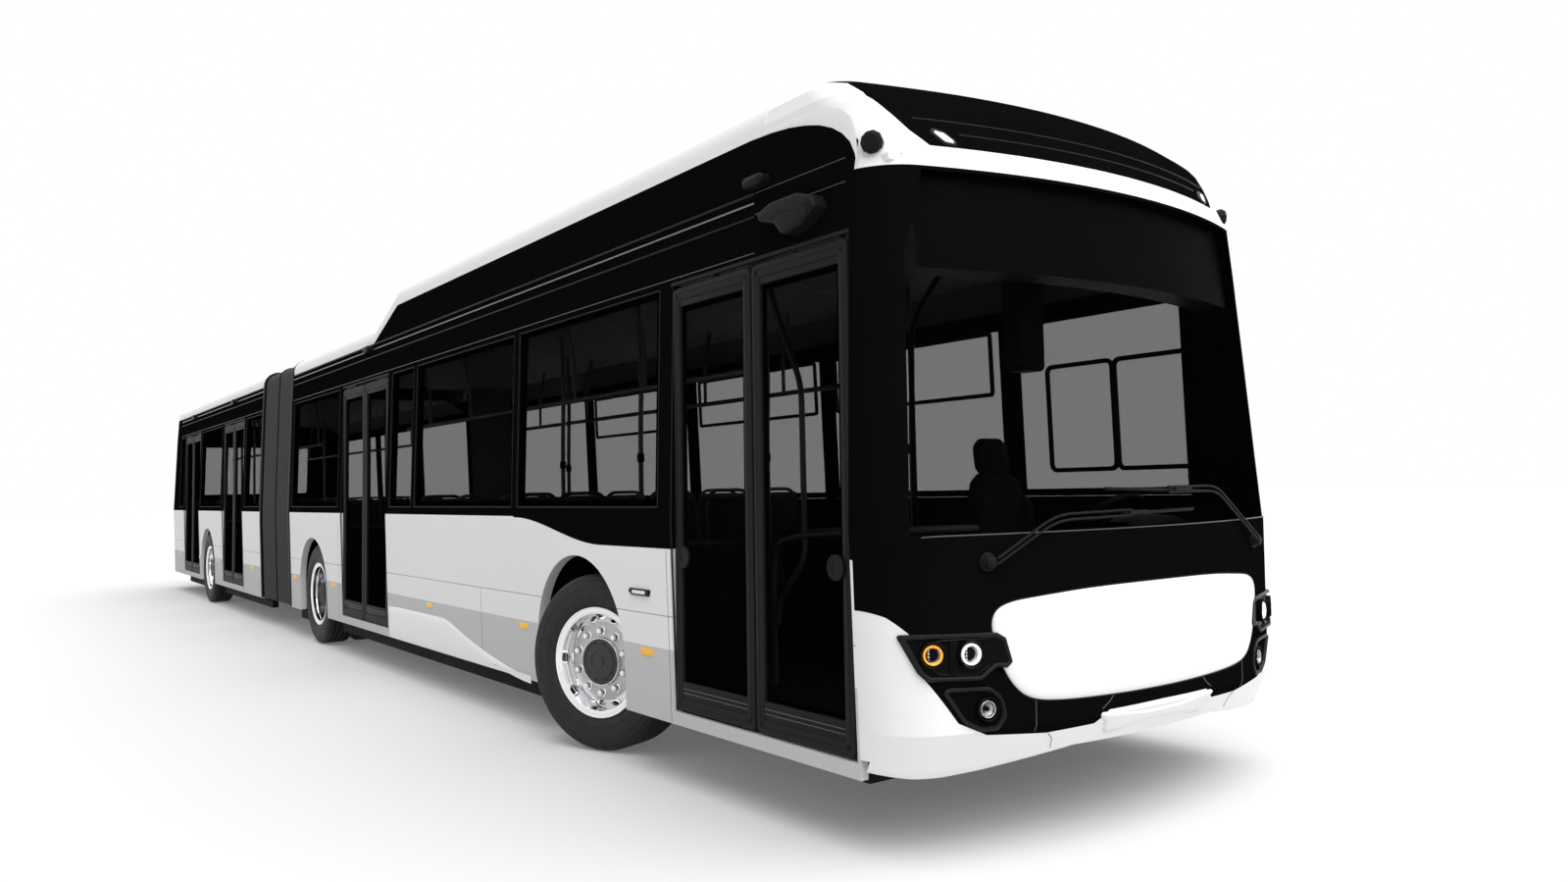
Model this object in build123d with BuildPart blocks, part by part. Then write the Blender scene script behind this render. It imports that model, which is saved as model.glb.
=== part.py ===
from build123d import *
from functools import cache
import math
import os

# Articulated low-floor electric city bus, in millimetres.
# +X points forward, +Y to the bus's left, +Z up; the ground is z = 0.
# The origin is at the middle of the length and width, on the ground.

os.makedirs("parts", exist_ok=True)

# Overall sizes; places along the bus are distances behind the front face of a bus of DRAWN_LENGTH,
# and they stretch with LENGTH; the wipers stand ahead of the front face
LENGTH = 18000
DRAWN_LENGTH = 18000
WALL = 60
NOSE_JOIN = 460
FRONT_BODY_END = 9600
REAR_BODY_START = 10950
TAIL_DEPTH = 1000
TAIL_JOIN = DRAWN_LENGTH - TAIL_DEPTH
NOSE_ROOT = 1050
FRONT_AXLE = 2810
MIDDLE_AXLE = 8650
REAR_AXLE = 14450
PIVOT = 10275

# Heights
GROUND_GAP = 290
FLOOR_TOP = 325
FLOOR_THICK = 60
BEAM_BOTTOM = 170
BEAM_WIDTH = 60
BEAM_Y = 1150
BELT = 1270
WINDOW_LOW = 1320
WINDOW_HIGH = 2400
CEILING = 2600
CEILING_THICK = 25
CAB_CEILING = 330
ROOF_EDGE = 2700
ROOF_TOP = 2860
POD_EDGE = 2940
POD_TOP = 3110
POD_END = 6150
CLEAR_TOP = 3210
POD_FOOT = 6750
ROOF_SHOULDER = 130
ROOF_SKIN = 40

# Side profile: columns are height and half width of the outer face
SIDE = [(290, 1255), (1250, 1275), (2400, 1235), (2930, 1210)]

# Nose: columns are height, setback of the front face, half width, corner radius
NOSE = [
    (370, 60, 1257, 255),
    (480, 5, 1259, 270),
    (1210, 0, 1274, 280),
    (2400, 100, 1235, 275),
    (2640, 122, 1224, 270),
    (2760, 180, 1218, 260),
    (2940, 280, 1209.5, 250),
    (2980, 315, 1209.5, 250),
    (3045, 400, 1192, 240),
    (3093, 520, 1145, 210),
    (3110, 640, 1080, 170),
]
NOSE_BOW = 3470

# Tail: the same columns
TAIL = [
    (290, 50, 1255, 420),
    (1270, 0, 1274, 450),
    (2400, 150, 1235, 430),
    (2700, 230, 1221, 400),
    (2730, 245, 1221, 400),
    (2795, 290, 1203, 380),
    (2843, 350, 1156, 330),
    (2860, 430, 1091, 280),
]
TAIL_BOW = 6000

# White roof front against the dark side, side view: columns are distance behind the front face and z
ROOF_ARC = [(460, 2760), (530, 2830), (690, 2910), (960, 2940)]

# Front face, front view: columns are y and z on the left half, from bottom to top
BUMPER_EDGE = [(0, 502), (330, 498), (400, 450), (640, 442), (912, 465), (1030, 520), (1150, 690),
               (1185, 850), (1240, 915), (1300, 955)]
WINDSCREEN = [(1182, 1215), (1120, 2300), (1029, 2625)]
MASK_TOP = 2640
FLAP = [(600, 575), (870, 700), (905, 860), (740, 956), (0, 978)]
FLAP_ROUND = 75
FLAP_PROUD = 14
GLASS_THICK = 9

# Lamps: columns are name, setback of the lens, y, z, radius, how far it faces outwards in degrees
LAMPS = [
    ("ring", 136, 984, 773, 58, 17),
    ("amber", 205, 1130, 778, 54, 42),
    ("fog", 130, 914, 563, 50, 15),
]
LAMP_DEPTH = 45
LAMP_PROUD = 4

# Wheels
TYRE_RADIUS = 480
TYRE_WIDTH = 275
BEAD_RADIUS = 290
BEAD_HALF = 112
RIM_HALF = 118
RIM_LIP = 12
RIM_WELL = 262
RIM_THICK = 12
DISC_OUT = 70
HUB_RADIUS = 128
HUB_OUT = 95
HUB_IN = 60
HAND_HOLES = 10
HAND_HOLE_RADIUS = 19
HAND_HOLE_CIRCLE = 236
HAND_HOLE_DEPTH = 100
WELD = 2
FLANGE_RADIUS = 213
DISC_DISH = 40
TWIN_OFFSET = 156
STUB_RADIUS = 35
STUB_GAP = 0.06
STEER_REST = 22
KINGPIN_Y = 985
KINGPIN_RADIUS = 22
KINGPIN_BOSS = 42
KINGPIN_HALF = 110
FORK_GAP = 0.3
FORK_THICK = 30
TRACK_HALF = 1115
TWIN_TRACK_HALF = 935
BEAM_RADIUS = 60
HOUSING_HALF = 600
HOUSING_TOP = 1100
HOUSING_INNER = 600
HOUSING_SKIN = 15
ARCH_SIDE = 550

# Wheel arches, ellipses over straight sides: columns are axle, how far the middle lies behind it,
# half length and rise
ARCHES = [
    (FRONT_AXLE, 42, 535, 510),
    (MIDDLE_AXLE, 15, 520, 475),
    (REAR_AXLE, 15, 520, 475),
]

# Doors: columns are name and place of the middle
DOORS = [
    ("door1", 1150),
    ("door2", 6970),
    ("door3", 12700),
    ("door4", 15825),
]
DOOR_WIDTH = 0.075 * LENGTH
DOOR_HIGH = 2410
SILL_TOP = 352
SILL_THICK = 18
LEAF_LOW = 365
LEAF_HIGH = 2376
LEAF_THICK = 36
LEAF_FRAME = 62
LEAF_KICK = 505
LEAF_TOP_RAIL = 90
LEAF_GLASS = 8
JAMB_GAP = 14
MIDDLE_GAP = 12
ARM_FROM_JAMB = 75
ARM_LINE = 1215
LEAD_MARGIN = 20
ARM_THICK = 14
ARM_GAP = 8
ARM_WIDTH = 24
DOOR_PIN = 7
EYE_RADIUS = 17

# Side glass; windows have the columns side, start and end
PANE = 6
PANE_INSET = 4
SEAT_GAP = 0.3
FRONT_WINDOWS = [
    (-1, 1930, 3665),
    (-1, 3735, 5600),
    (-1, 5665, 6210),
    (-1, 7735, 9500),
    (1, 640, 1850),
    (1, 1930, 3665),
    (1, 3735, 5600),
    (1, 5665, 7600),
    (1, 7670, 9500),
]
REAR_WINDOWS = [
    (-1, 11060, 11930),
    (-1, 13480, 15060),
    (-1, 16560, TAIL_JOIN - 40),
    (1, 11060, 12940),
    (1, 13010, 14900),
    (1, 14970, TAIL_JOIN - 40),
]
REAR_GLASS = (1700, 1500, 2300)

# Seats: columns are body, place of the seat's front, side, facing
SEATS = [
    ("front", 3550, 1, 1),
    ("front", 4350, 1, 1),
    ("front", 5150, 1, 1),
    ("front", 5950, 1, 1),
    ("front", 3750, -1, 1),
    ("front", 4550, -1, 1),
    ("front", 5350, -1, 1),
    ("front", 7900, 1, -1),
    ("rear", 11400, 1, 1),
    ("rear", 12200, 1, 1),
    ("rear", 13000, 1, 1),
    ("rear", 11400, -1, 1),
    ("rear", 15400, 1, 1),
    ("rear", 16200, 1, 1),
    ("rear", 16800, -1, 1),
]

# Side view of a bench: columns are distance behind the front of its cushion and height over the floor
SEAT_OUTLINE = [(0, 395), (0, 430), (370, 410), (470, 1080), (505, 1080), (410, 375), (275, 375), (275, 0),
                (155, 0), (155, 395)]
SEAT_WIDTH = 430
SEAT_WALL_GAP = 15

# Floors, turntable and bellows
FLOOR_START = 480
FLOOR_END = TAIL_JOIN + 400
FRONT_BEAMS = [(3420, 8020), (9280, 9600)]
REAR_BEAMS = [(10950, 13820), (15080, 16700)]
TONGUE_HALF = 350
TONGUE_PLATE = 40
TURNTABLE_LOW = 290
TURNTABLE_THICK = 40
TURNTABLE_RADIUS = 500
PIVOT_PIN = 60
FOLDS = 18
FOLD_DEPTH = 30
BELLOWS_SKIN = 12
BELLOWS_INSET = 12
BELLOWS_LOW = 300
BELLOWS_ROUND = 150

# Wheel and axle details
TYRE_SHOULDER = 40
TWIN_DISC = 15
TWIN_HUB_OUT = 120
TWIN_HUB_IN = 100
KNUCKLE_PLATE = 15
FORK_REACH = 48
AXLE_LOW = 180
AXLE_DROP_Y = 606
AXLE_DROP_WIDTH = 54
TWIN_DROP_WIDTH = 28
HUB_CLEAR = 8
LUG_HIGH = 24

# Driver's place: distances behind the front face, heights and widths
DASH_TOP = 1165
DASH_LOW = 880
DASH_REAR = 430
CONSOLE_REAR = 640
CONSOLE_LOW = 330
CONSOLE_TOP = 1090
CONSOLE_Y = (230, 1130)
COLUMN_RADIUS = 32
COLUMN_LENGTH = 250
WHEEL_Y = 640
WHEEL_BEHIND = 760
WHEEL_Z = 1190
WHEEL_RADIUS = 225
WHEEL_RIM = 26
DRIVER_WIDTH = 480
COLUMN_AXIS = (-0.6, 0, 0.8)
DASH_CLEAR = 1

# Side view of the driver's seat: columns are distance behind the front face and z
DRIVER_SEAT = [(960, 790), (960, 880), (1360, 860), (1480, 1680), (1570, 1680), (1460, 770), (1380, 770),
               (1380, FLOOR_TOP), (1050, FLOOR_TOP), (1050, 790)]

# Saloon poles: columns are distance behind the front face and y
POLE_RADIUS = 17
POLES = [(2080, 560), (2080, -560), (3480, 500), (3480, -500), (4280, 290), (5080, -290), (5900, -290),
         (6200, 290), (7700, -560), (7960, 520)]
TOW_BORE = 15
TOW_DEPTH = 80
TOW_Y = 400
BATTERY_HALF = 900
BATTERY_TOP = 2960
BATTERY_START = 1400
BATTERY_MARGIN = 100

# Wipers: columns are side, then y and z on that side for the pivot, the elbow and the end
WIPER_PIVOT = (897, 1110)
WIPERS = [
    (-1, WIPER_PIVOT, (600, 1270), (60, 1270)),
    (1, WIPER_PIVOT, (440, 1362), (60, 1360)),
]
WIPER_PROUD = 34
WIPER_RADIUS = 9
WIPER_BOSS = 30

# Camera wings folded against the sides, side view: columns are distance behind the front face and z
WING = [(1010, 2572), (915, 2600), (740, 2602), (640, 2572), (608, 2520), (700, 2462), (830, 2440),
        (885, 2500), (1000, 2535)]
WING_PROUD = 80

# Small camera caps on the sides: columns are side, place of the middle and height
CAPS = [
    (-1, 1085, 2735),
    (1, 1085, 2735),
    (-1, 6830, 2660),
    (1, 6830, 2660),
]
CAP_LENGTH = 150
CAP_HIGH = 56
CAP_PROUD = 60

# Dark panel over the front of the roof, front view: columns are y and z on the left half, from bottom to top
VISOR = [(955, 2735), (1015, 2800), (1110, 2960), (1118, 3200)]
VISOR_END = 830

# Tail lamps: columns are y from, y to, z from, z to
TAIL_LAMPS = [(930, 1060, 700, 1100)]
TAIL_LAMP_PROUD = 4
TAIL_LAMP_DEPTH = 35

SIDE_CUT = 400
SIDE_REACH = SIDE[1][1] + SIDE_CUT / 3
LEAF_WIDTH = (DOOR_WIDTH - 2 * JAMB_GAP - MIDDLE_GAP) / 2
ARM_LENGTH = (LEAF_WIDTH + JAMB_GAP - ARM_FROM_JAMB - LEAD_MARGIN) / 2


def nose_setback(y, z):
    """How far the nose's front face lies behind its foremost point."""
    for (z0, s0, *_), (z1, s1, *_) in zip(NOSE, NOSE[1:]):
        if z0 <= z <= z1:
            setback = s0 + (s1 - s0) * (z - z0) / (z1 - z0)
    return setback + NOSE_BOW - math.sqrt(NOSE_BOW**2 - y**2)


WIPER_LEAD = WIPER_PROUD + WIPER_RADIUS - nose_setback(*WIPERS[0][-1])


def back(distance):
    """x of a place this far behind the front face."""
    return (LENGTH - WIPER_LEAD) / 2 - distance * LENGTH / DRAWN_LENGTH


def behind(x):
    """Distance behind the front face of a place, the other way round from back."""
    return (back(0) - x) * DRAWN_LENGTH / LENGTH


def half_width(z):
    """Half width of the outer face at a height."""
    rows = list(zip(SIDE, SIDE[1:]))
    for (z0, w0), (z1, w1) in rows:
        if z <= z1 or (z1, w1) == SIDE[-1]:
            return w0 + (w1 - w0) * (z - z0) / (z1 - z0)


def polygon(points):
    """Flat face from its corners."""
    with BuildSketch() as face:
        with BuildLine():
            Polyline(*points, close=True)
        make_face()
    return face.sketch


def wall_band(side, low, high, outer, inner):
    """Section of one side wall between two heights and two depths below the outer face."""
    levels = [low] + [z for z, _ in SIDE if low < z < high] + [high]
    outside = [(side * (half_width(z) - outer), z) for z in levels]
    inside = [(side * (half_width(z) - inner), z) for z in reversed(levels)]
    return polygon(outside + inside)


def strip(side, start, end, low, high, outer, inner):
    """Piece of one side wall between two places, two heights and two depths."""
    with BuildPart() as piece:
        with BuildSketch(Plane.YZ.offset(back(end))):
            add(wall_band(side, low, high, outer, inner))
        extrude(amount=back(start) - back(end))
    return piece.part


def side_plane(side):
    """Upright plane beside the bus, drawn with x forward and z up."""
    return Plane.XZ.offset(-side * SIDE_REACH)


def side_cutter(side, points, depth=SIDE_CUT):
    """Prism that cuts a side-view outline out of one side."""
    with BuildPart() as cutter:
        with BuildSketch(side_plane(side)):
            add(polygon(points))
        extrude(amount=side * depth)
    return cutter.part


def opening(side, start, end, low, high):
    """Cutter for a square opening in one side."""
    return side_cutter(side, [(back(end), low), (back(start), low), (back(start), high), (back(end), high)])


def box(x0, x1, y0, y1, z0, z1):
    """Plain block between two corners."""
    with BuildPart() as block:
        with BuildSketch(Plane.XY.offset(z0)):
            with Locations(((x0 + x1) / 2, (y0 + y1) / 2)):
                Rectangle(abs(x1 - x0), abs(y1 - y0))
        extrude(amount=z1 - z0)
    return block.part


def end_block(table, join, bow, inset, top_skin=0):
    """Rounded end of the body, from a table of levels; a positive inset makes it smaller."""
    sign = 1 if join < DRAWN_LENGTH / 2 else -1
    face = back(0) if sign > 0 else back(DRAWN_LENGTH)
    with BuildPart() as block:
        for level, (z, setback, half, corner) in enumerate(table):
            height = z - top_skin if level == len(table) - 1 else z
            tip = face - sign * (setback + inset)
            wide = half - inset
            radius = bow - inset
            edge = tip - sign * (radius - math.sqrt(radius**2 - wide**2))
            with BuildSketch(Plane.XY.offset(height)) as outline:
                with BuildLine():
                    Line((back(join), wide), (edge, wide))
                    ThreePointArc((edge, wide), (tip, 0), (edge, -wide))
                    Line((edge, -wide), (back(join), -wide))
                    Line((back(join), -wide), (back(join), wide))
                make_face()
                tips = [v for v in outline.vertices() if abs(v.X - edge) < 1]
                fillet(tips, corner - inset)
        loft(ruled=True)
    return block.part


@cache
def nose_block(inset, top_skin=0):
    return end_block(NOSE, NOSE_ROOT, NOSE_BOW, inset, top_skin)


@cache
def tail_block(inset, top_skin=0):
    return end_block(TAIL, TAIL_JOIN, TAIL_BOW, inset, top_skin)


def nose_point(y, z, proud):
    """Point this far ahead of the nose's front face."""
    return back(nose_setback(y, z)) + proud, y, z


def front_prism(points):
    """Prism behind a front-view outline, long enough for the nose or the tail."""
    with BuildPart() as prism:
        with BuildSketch(Plane.YZ.offset(-LENGTH / 2 - SIDE_CUT)):
            add(polygon(points))
        extrude(amount=LENGTH + 2 * SIDE_CUT)
    return prism.part


def both_halves(points):
    """Outline of both halves from the points of the left half, listed from bottom to top."""
    return points + [(-y, z) for y, z in reversed(points)]


def flap_prism():
    """Prism behind the rounded outline of the front flap."""
    with BuildPart() as prism:
        with BuildSketch(Plane.YZ.offset(-LENGTH / 2 - SIDE_CUT)) as outline:
            add(polygon(both_halves(FLAP[:-1])))
            fillet(outline.vertices(), FLAP_ROUND)
        extrude(amount=LENGTH + 2 * SIDE_CUT)
    return prism.part


def visor_zone():
    """Block around the dark panel at the front of the roof."""
    with BuildPart() as zone:
        with BuildSketch(Plane.YZ.offset(back(VISOR_END))):
            add(polygon(both_halves(VISOR)))
        extrude(amount=VISOR_END)
    return zone.part


def roof_section(edge, top, inset):
    """Closed section of the roof and ceiling; the inset one is the space inside."""
    wide = half_width(edge) - inset
    crown = top - inset
    shoulder = ROOF_SHOULDER - inset
    rise = math.sqrt(0.5) * shoulder
    inner = half_width(POD_EDGE) - WALL - inset
    low = CEILING + (CEILING_THICK if inset else 0)
    foot = edge if not inset else edge + 1
    with BuildSketch() as section:
        with BuildLine():
            Polyline((wide, crown - shoulder), (wide, foot), (inner, foot), (inner, low),
                     (-inner, low), (-inner, foot), (-wide, foot), (-wide, crown - shoulder))
            ThreePointArc((-wide, crown - shoulder), (-wide + shoulder - rise, crown - shoulder + rise),
                          (-wide + shoulder, crown))
            Line((-wide + shoulder, crown), (wide - shoulder, crown))
            ThreePointArc((wide - shoulder, crown), (wide - shoulder + rise, crown - shoulder + rise),
                          (wide, crown - shoulder))
        make_face()
    return section.sketch


def roof_stretch(start, end, first, last, inset):
    """Roof between two places; first and last hold the edge and top heights there."""
    with BuildPart() as piece:
        with BuildSketch(Plane.YZ.offset(back(end))):
            add(roof_section(last[0], last[1], inset))
        with BuildSketch(Plane.YZ.offset(back(start))):
            add(roof_section(first[0], first[1], inset))
        loft(ruled=True)
    return piece.part


def finish(piece, name):
    """Label a finished piece and write it."""
    piece.part.label = name
    export_step(piece.part, "parts/" + name + ".step")


def doorways(first, last):
    """Cutters for the doorways between two places, with the step-in recess behind each sill."""
    for _, middle in DOORS:
        if first < middle < last:
            front_jamb = back(middle) + DOOR_WIDTH / 2
            rear_jamb = back(middle) - DOOR_WIDTH / 2
            yield opening(-1, behind(front_jamb), behind(rear_jamb), SILL_TOP, DOOR_HIGH)
            yield box(rear_jamb, front_jamb, -(half_width(SILL_TOP) - SILL_THICK), -BEAM_Y,
                      FLOOR_TOP, DOOR_HIGH)


def arches(first, last):
    """Cutters for the wheel arches of both sides between two places."""
    for axle, shift, half, rise in ARCHES:
        if first < axle < last:
            for side in (-1, 1):
                with BuildPart() as cutter:
                    with BuildSketch(side_plane(side)):
                        with Locations((back(axle) - shift, ARCH_SIDE)):
                            Ellipse(half, rise)
                        with Locations((back(axle) - shift, ARCH_SIDE / 2)):
                            Rectangle(2 * half, ARCH_SIDE)
                    extrude(amount=side * SIDE_CUT)
                yield cutter.part


roof_front = ([(back(0), MASK_TOP), (back(NOSE_JOIN), MASK_TOP)] + [(back(d), z) for d, z in ROOF_ARC]
              + [(back(NOSE_ROOT), POD_EDGE), (back(NOSE_ROOT), CLEAR_TOP), (back(0), CLEAR_TOP)])

# Side walls above the belt
POD_SLOPE = [(back(POD_END), POD_EDGE), (back(POD_FOOT), ROOF_EDGE), (back(FRONT_BODY_END), ROOF_EDGE),
             (back(FRONT_BODY_END), POD_TOP), (back(POD_END), POD_TOP)]

with BuildPart() as front_walls:
    for side in (-1, 1):
        add(strip(side, NOSE_JOIN, FRONT_BODY_END, BELT, POD_EDGE, 0, WALL))
        add(side_cutter(side, POD_SLOPE), mode=Mode.SUBTRACT)
        add(side_cutter(side, roof_front), mode=Mode.SUBTRACT)
    for side, start, end in FRONT_WINDOWS:
        add(opening(side, start, end, WINDOW_LOW, WINDOW_HIGH), mode=Mode.SUBTRACT)
    for cutter in doorways(0, FRONT_BODY_END):
        add(cutter, mode=Mode.SUBTRACT)
finish(front_walls, "front_walls")

with BuildPart() as rear_walls:
    for side in (-1, 1):
        add(strip(side, REAR_BODY_START, TAIL_JOIN, BELT, ROOF_EDGE, 0, WALL))
    add(tail_block(0))
    add(tail_block(WALL, ROOF_SKIN), mode=Mode.SUBTRACT)
    add(box(back(DRAWN_LENGTH), back(TAIL_JOIN), -SIDE_REACH, SIDE_REACH, 0, BELT), mode=Mode.SUBTRACT)
    add(box(back(DRAWN_LENGTH), back(TAIL_JOIN), -SIDE_REACH, SIDE_REACH, ROOF_EDGE, POD_TOP),
        mode=Mode.SUBTRACT)
    for side, start, end in REAR_WINDOWS:
        add(opening(side, start, end, WINDOW_LOW, WINDOW_HIGH), mode=Mode.SUBTRACT)
    for cutter in doorways(REAR_BODY_START, DRAWN_LENGTH):
        add(cutter, mode=Mode.SUBTRACT)
    rear_width, rear_low, rear_high = REAR_GLASS
    add(box(back(DRAWN_LENGTH), back(TAIL_JOIN), -rear_width / 2, rear_width / 2, rear_low, rear_high),
        mode=Mode.SUBTRACT)
finish(rear_walls, "rear_walls")


def tail_lamp_zones():
    """Blocks around the lamps in the rear corners."""
    for y0, y1, z0, z1 in TAIL_LAMPS:
        for side in (-1, 1):
            yield box(back(DRAWN_LENGTH + WALL), back(TAIL_JOIN + TAIL_DEPTH / 3), side * y0, side * y1,
                      z0, z1)


# Skirts below the belt
with BuildPart() as front_skirts:
    for side in (-1, 1):
        add(strip(side, NOSE_JOIN, FRONT_BODY_END, GROUND_GAP, BELT, 0, WALL))
    for cutter in (*arches(0, FRONT_BODY_END), *doorways(0, FRONT_BODY_END)):
        add(cutter, mode=Mode.SUBTRACT)
finish(front_skirts, "front_skirts")

with BuildPart() as rear_skirts:
    for side in (-1, 1):
        add(strip(side, REAR_BODY_START, TAIL_JOIN, GROUND_GAP, BELT, 0, WALL))
    add(tail_block(0))
    add(tail_block(WALL), mode=Mode.SUBTRACT)
    add(box(back(DRAWN_LENGTH), back(TAIL_JOIN), -SIDE_REACH, SIDE_REACH, BELT, POD_TOP), mode=Mode.SUBTRACT)
    for cutter in (*arches(REAR_BODY_START, DRAWN_LENGTH), *doorways(REAR_BODY_START, DRAWN_LENGTH),
                   *tail_lamp_zones()):
        add(cutter, mode=Mode.SUBTRACT)
finish(rear_skirts, "rear_skirts")

# Roofs, each one shell over a ceiling
def nose_roof():
    """Rounded front of the roof over the windscreen."""
    with BuildPart() as piece:
        add(nose_block(0))
        add(nose_block(WALL, ROOF_SKIN), mode=Mode.SUBTRACT)
        add(side_cutter(1, roof_front, 2 * SIDE_REACH), mode=Mode.INTERSECT)
        add(visor_zone(), mode=Mode.SUBTRACT)
        ceiling_half = half_width(POD_EDGE) - WALL
        add(box(back(NOSE_ROOT + 1), back(CAB_CEILING), -ceiling_half, ceiling_half, CEILING + WALL,
                CEILING + WALL + CEILING_THICK))
    return piece.part


with BuildPart() as front_roof:
    for inset, mode in ((0, Mode.ADD), (ROOF_SKIN, Mode.SUBTRACT)):
        add(roof_stretch(NOSE_ROOT, POD_END, (POD_EDGE, POD_TOP), (POD_EDGE, POD_TOP), inset), mode=mode)
        add(roof_stretch(POD_END, POD_FOOT, (POD_EDGE, POD_TOP), (ROOF_EDGE, ROOF_TOP), inset), mode=mode)
        add(roof_stretch(POD_FOOT, FRONT_BODY_END, (ROOF_EDGE, ROOF_TOP), (ROOF_EDGE, ROOF_TOP), inset),
            mode=mode)
    add(nose_roof())
finish(front_roof, "front_roof")

with BuildPart() as rear_roof:
    add(roof_stretch(REAR_BODY_START, TAIL_JOIN, (ROOF_EDGE, ROOF_TOP), (ROOF_EDGE, ROOF_TOP), 0))
    add(roof_stretch(REAR_BODY_START, TAIL_JOIN, (ROOF_EDGE, ROOF_TOP), (ROOF_EDGE, ROOF_TOP), ROOF_SKIN),
        mode=Mode.SUBTRACT)
    add(tail_block(0))
    add(tail_block(WALL, ROOF_SKIN), mode=Mode.SUBTRACT)
    add(box(back(DRAWN_LENGTH), back(TAIL_JOIN), -SIDE_REACH, SIDE_REACH, 0, ROOF_EDGE), mode=Mode.SUBTRACT)
finish(rear_roof, "rear_roof")

with BuildPart() as roof_visor:
    add(nose_block(0))
    add(nose_block(WALL, ROOF_SKIN), mode=Mode.SUBTRACT)
    add(visor_zone(), mode=Mode.INTERSECT)
finish(roof_visor, "roof_visor")

# Front end: bumper, dark mask with the pillars, flap and windscreen
bumper_zone = ([(SIDE_REACH, 0)] + list(reversed(BUMPER_EDGE)) + [(-y, z) for y, z in BUMPER_EDGE[1:]]
               + [(-SIDE_REACH, 0)])
screen_zone = both_halves(WINDSCREEN)


def lamp_bodies(radius_gap, depth, proud):
    """Cylinders of all lamps on both sides."""
    for _, setback, y, z, radius, turn in LAMPS:
        for side in (-1, 1):
            facing = Vector(math.cos(math.radians(turn)), side * math.sin(math.radians(turn)), 0)
            lens = Vector(back(setback), side * y, z)
            with BuildPart() as lamp:
                with BuildSketch(Plane(origin=lens - facing * depth, z_dir=facing)):
                    Circle(radius + radius_gap)
                extrude(amount=depth + proud)
            yield lamp.part


def nose_shell(outer, inner):
    """Skin of the nose ahead of the side walls, between two depths."""
    with BuildPart() as shell:
        add(nose_block(outer))
        add(nose_block(inner), mode=Mode.SUBTRACT)
        add(box(back(NOSE_JOIN), back(-WALL), -SIDE_REACH, SIDE_REACH, 0, MASK_TOP), mode=Mode.INTERSECT)
    return shell.part


with BuildPart() as bumper:
    add(nose_shell(0, WALL))
    add(front_prism(bumper_zone), mode=Mode.INTERSECT)
    for lamp in lamp_bodies(SEAT_GAP, LAMP_DEPTH, WALL * 3):
        add(lamp, mode=Mode.SUBTRACT)
finish(bumper, "bumper")


def wiper_boss(side, radius_gap, proud):
    """Round boss that carries a wiper, standing out of the mask."""
    x, y, z = nose_point(*WIPER_PIVOT, 0)
    with BuildPart() as boss:
        with BuildSketch(Plane.YZ.offset(x - LAMP_DEPTH)):
            with Locations((side * y, z)):
                Circle(WIPER_BOSS + radius_gap)
        extrude(amount=LAMP_DEPTH + proud)
    yield boss.part


with BuildPart() as front_mask:
    add(nose_shell(0, WALL))
    add(front_prism(bumper_zone), mode=Mode.SUBTRACT)
    add(front_prism(screen_zone), mode=Mode.SUBTRACT)
    add(flap_prism(), mode=Mode.SUBTRACT)
    for lamp in lamp_bodies(SEAT_GAP, LAMP_DEPTH, WALL * 3):
        add(lamp, mode=Mode.SUBTRACT)
    for side in (-1, 1):
        for boss in wiper_boss(side, SEAT_GAP, WALL * 3):
            add(boss, mode=Mode.SUBTRACT)
finish(front_mask, "front_mask")

with BuildPart() as front_flap:
    add(nose_shell(-FLAP_PROUD, WALL))
    add(flap_prism(), mode=Mode.INTERSECT)
finish(front_flap, "front_flap")

with BuildPart() as windscreen:
    add(nose_shell(PANE_INSET, PANE_INSET + GLASS_THICK))
    add(front_prism(screen_zone), mode=Mode.INTERSECT)
finish(windscreen, "windscreen")

with BuildPart() as headlamps:
    for lamp in lamp_bodies(0, LAMP_DEPTH, LAMP_PROUD):
        add(lamp)
finish(headlamps, "headlamps")

# Side glass, each pane in its own opening
def pane_set(windows):
    """Panes of a body, one for each window."""
    for side, start, end in windows:
        yield strip(side, start + SEAT_GAP, end - SEAT_GAP, WINDOW_LOW + SEAT_GAP, WINDOW_HIGH - SEAT_GAP,
                    PANE_INSET, PANE_INSET + PANE)


with BuildPart() as front_windows:
    for pane in pane_set(FRONT_WINDOWS):
        add(pane)
finish(front_windows, "front_windows")

with BuildPart() as rear_windows:
    for pane in pane_set(REAR_WINDOWS):
        add(pane)
    with BuildPart() as tail_glass:
        add(tail_block(PANE_INSET))
        add(tail_block(PANE_INSET + PANE), mode=Mode.SUBTRACT)
        add(box(back(DRAWN_LENGTH), back(TAIL_JOIN), -rear_width / 2 + SEAT_GAP, rear_width / 2 - SEAT_GAP,
                rear_low + SEAT_GAP, rear_high - SEAT_GAP), mode=Mode.INTERSECT)
    add(tail_glass.part)
finish(rear_windows, "rear_windows")


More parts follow.
